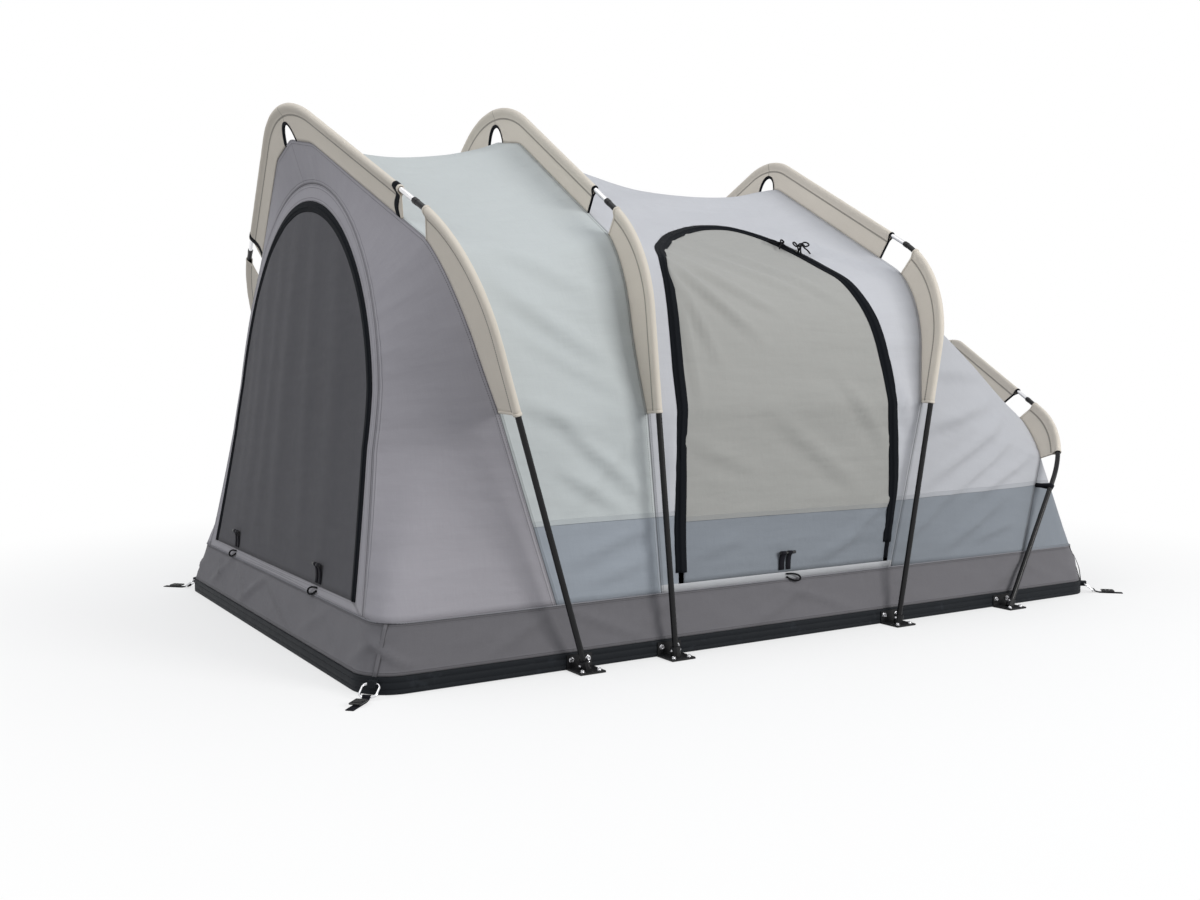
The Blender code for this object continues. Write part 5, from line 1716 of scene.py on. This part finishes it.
PULL_BOW = [(0.0014, 0.0108, 0.0010), (0.003, 0.0100, 0.0070), (0.010, 0.0020, 0.0130),
            (0.021, -0.0060, 0.0150), (0.031, -0.0050, 0.0140), (0.030, 0.0050, 0.0130),
            (0.018, 0.0100, 0.0120), (0.008, 0.0120, 0.0165), (0.0024, 0.0160, 0.0180),
            (0.0070, 0.0240, 0.0140), (0.0150, 0.0330, 0.0110), (0.0190, 0.0430, 0.0080)]
PULL_KNOT = [(0.0050, 0.0130, 0.0130), (0.0, 0.0165, 0.0145), (-0.0050, 0.0130, 0.0130),
             (0.0, 0.0095, 0.0120)]


def make_slider(index, here):
    """Body of a zip slider, a little narrower at its lower end."""
    nothing_selected()
    bpy.ops.mesh.primitive_cube_add(size=1, location=(0, 0, 0))
    slider = bpy.context.object
    slider.scale = (0.0085, 0.0130, 0.0048)
    slider.location = (0, 0, 0.0010)
    settle(slider)
    pick_faces(slider, lambda face: face.normal.y > 0.9)
    bpy.ops.transform.resize(value=(0.6, 1, 0.8), center_override=(0, 0.0065, 0.001))
    bpy.ops.mesh.extrude_region_move(TRANSFORM_OT_translate={"value": (0, 0.004, 0)})
    leave_edit()
    soften(slider, 0.0008)
    dressed(slider, f"door_slider_{index}", "bolt" if index == 1 else "plastic")
    slider.data.transform(here)
    join_tent(slider, "door")


def make_zip_pulls(door_tree):
    """Slider of each of the door's zip pulls, and its cord tied in a bow.

    The second bow stands clear of the first and swings over it, and each is short on the other's side."""
    for index, (x, z) in enumerate(DOOR_PULLS, start=1):
        body = f"zip_pull_{index}"
        stand = 0.50 if index == 1 else 1.60
        point, outward = on_side(door_tree, x, z)
        here = tab_frame(point + outward * 0.0040, -UP, outward)
        make_slider(index, here)
        for side, label in ((-1, "a"), (1, "b")):
            reach = side * (0.40 if (index == 1) == (side < 0) else 1.0)
            rise = 0.002 if side > 0 else 0.0
            line = [here @ Vector((reach * px, py + rise, stand * pz)) for px, py, pz in PULL_BOW]
            free_cord(f"door_pull_cord_{index}{label}", line, 0.0020, body)
        line = smooth_line([here @ Vector((px, py, stand * pz)) for px, py, pz in PULL_KNOT], 5, closed=True)
        knot = tube(f"door_pull_knot_{index}", line, 0.0022, "cord", closed=True, sides=8)
        join_tent(knot, body, [f"door_zip_pull_{index}"])


def make_leg_ties():
    """Webbing from each of the low end's poles to the body's seam at the top of the dark band."""
    hoop = HOOPS[-1]
    across = hoop.across()
    mark = 2 * (SEAM_HEIGHT - BODY_FOOT) / (hoop.seam(2)[0].z - BODY_FOOT)
    wrap = SIDE_POLE_R + 0.0018
    turn = [(-wrap * math.sin(math.radians(a)), wrap * math.cos(math.radians(a)))
            for a in (-25, 20, 55, 90, 125, 160, 205)]
    for side, label in SIDES:
        seam, _ = hoop.seam(mark if side < 0 else LAST_MARK - mark)
        distance = seam.z / math.cos(hoop.rake) / math.cos(hoop.lean)
        centre, _ = hoop.pole_at(hoop.up_from(distance, side))
        toward = seam - centre
        reach = toward.length
        toward.normalize()
        run_in = [(reach, 0.0024), (reach * 0.6, 0.0030), (wrap * 1.7, wrap * 0.75)]
        section = run_in + turn + [(u, -w) for u, w in run_in[::-1]]
        points = [centre + toward * u + across * w for u, w in section]
        ways = [across] * 3 + [toward * u + across * w for u, w in turn] + [-across] * 3
        tie = strip(f"leg_tie_{label}", points, [way.normalized() for way in ways], 0.011, "webbing",
                    thick=0.0013, columns=2)
        join_tent(tie)


def make_corner_straps():
    """Short webbing down each of the tub's low-end corners, with its sewn tab at the top."""
    start = TUB_TOP - 0.004
    for side, label in SIDES:
        outward = Vector((1, side, 0)).normalized()
        top = Vector((TUB_HALF_LENGTH - TUB_CORNER_TOP, side * (TUB_HALF_WIDTH - TUB_CORNER_TOP), 0))
        foot = Vector((BASE_LENGTH / 2 - BASE_CORNER, side * (BASE_WIDTH / 2 - BASE_CORNER), 0))
        top += outward * TUB_CORNER_TOP
        foot += outward * BASE_CORNER
        points = []
        for share, slack in ((0.0, 0.0016), (0.12, 0.0030), (0.35, 0.0075), (0.6, 0.0095), (0.85, 0.0060),
                             (1.0, 0.0030)):
            points.append(top.lerp(foot, share) + outward * slack + UP * (start + (0.030 - start) * share))
        line = smooth_line(points, 3)
        strap = strip(f"corner_strap_{label}", line, [outward] * len(line), 0.010, "webbing", thick=0.0013,
                      columns=2)
        tab = strip("tab", [points[0] + UP * z + outward * 0.0012 for z in (0.005, 0.0, -0.010)],
                    [outward] * 3, 0.016, "webbing", thick=0.0022, columns=2)
        join_tent(joined(f"corner_strap_{label}", [strap, tab]))


REAR_TIE_BOW = [(0.0, 0.0, 0.0), (0.0, 0.001, 0.0080), (0.009, -0.006, 0.0140), (0.022, -0.009, 0.0130),
                (0.027, 0.001, 0.0115), (0.014, 0.006, 0.0125), (0.0, 0.003, 0.0190),
                (-0.014, -0.004, 0.0180), (-0.025, -0.008, 0.0150), (-0.028, 0.002, 0.0130),
                (-0.014, 0.008, 0.0130), (-0.002, 0.013, 0.0120), (0.004, 0.028, 0.0090),
                (0.003, 0.052, 0.0060), (0.006, 0.078, 0.0050)]


def make_rear_tie(corner_tree):
    """Cord tied in a bow on the rear corner away from the door."""
    start = Vector((REAR_TIE_X - 0.5, REAR_TIE_Y + 0.5, REAR_TIE_Z))
    point, outward, _, _ = corner_tree.ray_cast(start, Vector((1, -1, 0)).normalized())
    if outward.dot(Vector((-1, 1, 0))) < 0:
        outward.negate()
    here = tab_frame(point, -UP, outward)
    free_cord("rear_tie_cord", [here @ Vector(p) for p in REAR_TIE_BOW], 0.0016, "tent")


# Stage, camera and lights

EYE = Vector((-1.879, -2.884, 0.619))
EYE_YAW = math.radians(58.529)
EYE_PITCH = math.radians(3.69)
EYE_ROLL = math.radians(-0.098)
EYE_LENS = 36.716


def make_camera():
    forward = Vector((math.cos(EYE_YAW) * math.cos(EYE_PITCH), math.sin(EYE_YAW) * math.cos(EYE_PITCH),
                      -math.sin(EYE_PITCH)))
    right = Vector((math.sin(EYE_YAW), -math.cos(EYE_YAW), 0))
    up = right.cross(forward)
    right_turned = right * math.cos(EYE_ROLL) + up * math.sin(EYE_ROLL)
    up_turned = up * math.cos(EYE_ROLL) - right * math.sin(EYE_ROLL)
    data = bpy.data.cameras.new("camera")
    data.sensor_fit = "HORIZONTAL"
    data.sensor_width = 36.0
    data.lens = EYE_LENS
    camera = link("camera", data)
    turn = Matrix((right_turned, up_turned, -forward)).transposed().to_4x4()
    camera.matrix_world = Matrix.Translation(EYE) @ turn
    bpy.context.scene.camera = camera


def make_lamp(name, place, target, size, power, colour=(1, 1, 1)):
    data = bpy.data.lights.new(name, "AREA")
    data.shape = "RECTANGLE"
    data.size, data.size_y = size
    data.energy = power
    data.color = colour
    lamp = link(name, data)
    lamp.location = place
    lamp.rotation_euler = (Vector(target) - Vector(place)).to_track_quat("-Z", "Y").to_euler()


def seen_straight(tree):
    """1 for rays from the camera, off polished metal or through glass."""
    rays = tree.nodes.new("ShaderNodeLightPath")
    seen = rays.outputs["Is Camera Ray"]
    for kind in ("Is Glossy Ray", "Is Transmission Ray"):
        most = tree.nodes.new("ShaderNodeMath")
        most.operation = "MAXIMUM"
        tree.links.new(seen, most.inputs[0])
        tree.links.new(rays.outputs[kind], most.inputs[1])
        seen = most.outputs[0]
    return seen


def show_mixed(tree, share, first, second, output):
    """Show the first shader where the share is 0 and the second where it is 1."""
    mix = tree.nodes.new("ShaderNodeMixShader")
    for source, target in zip((share, first.outputs[0], second.outputs[0]), mix.inputs):
        tree.links.new(source, target)
    tree.links.new(mix.outputs[0], tree.nodes[output].inputs["Surface"])


def make_floor():
    """Pale floor that runs into a white background."""
    nothing_selected()
    bpy.ops.mesh.primitive_circle_add(vertices=96, radius=14, fill_type="NGON", location=(0, 0, -0.0006))
    floor = bpy.context.object
    floor.name = "floor"
    finish = Finish("floor", (0.92, 0.92, 0.92), 0.9, Specular_IOR_Level=0.1)
    seen = seen_straight(finish.tree)
    finish.paint(finish.tint(seen, (0.32, 0.32, 0.32), (0.92, 0.92, 0.92)))
    white = finish.tree.nodes.new("ShaderNodeEmission")
    away = finish.tree.nodes.new("ShaderNodeVectorMath")
    away.operation = "LENGTH"
    finish.join(finish.place(), away.inputs[0])
    settings = {"interpolation_type": "SMOOTHSTEP", "From Min": 0.9, "From Max": 2.6, "To Min": 0.55}
    fade = finish.add("MapRange", settings, Value=away.outputs["Value"])
    show_mixed(finish.tree, finish.times(fade, seen), finish.shader, white, "Material Output")
    floor.data.materials.append(finish.material)


def make_world():
    """Even light all round, seen as white."""
    world = bpy.data.worlds.new("studio")
    bpy.context.scene.world = world
    world.use_nodes = True
    tree = world.node_tree
    background = tree.nodes["Background"]
    background.inputs["Color"].default_value = (0.93, 0.96, 1.0, 1)
    background.inputs["Strength"].default_value = 0.56
    shown = tree.nodes.new("ShaderNodeBackground")
    shown.inputs["Color"].default_value = (1, 1, 1, 1)
    show_mixed(tree, seen_straight(tree), background, shown, "World Output")


def make_lamps():
    make_lamp("key", (2.2, -5.2, 2.4), (0.2, 0, 0.5), (2.6, 2.2), 194, (1.0, 0.99, 0.97))
    make_lamp("fill", (-4.6, -0.8, 3.0), (-0.9, 0, 0.8), (2.0, 2.0), 52)
    make_lamp("top", (-1.2, -0.2, 4.4), (0, 0, 0.5), (2.4, 2.4), 25)


def finish_carried_over_nodes():
    """Finishes of the CAD nodes that stay."""
    for name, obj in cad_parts.items():
        if name.startswith("foot_bracket") or name == "floor_panel":
            for place in obj.material_slots:
                place.material = LOOKS["base" if name == "floor_panel" else "bracket"]


make_camera()
make_floor()
make_world()
make_lamps()
bpy.context.scene.view_settings.view_transform = "Standard"
finish_carried_over_nodes()
make_tub()
make_rear_wall()
make_rear_corner()
make_side_bays()
make_door_bay()
make_front_wall()
for each_hoop in HOOPS:
    make_hoop(each_hoop)
make_leg_ties()
make_corner_straps()
make_brackets()
make_edge_rail()
make_corner_ties()
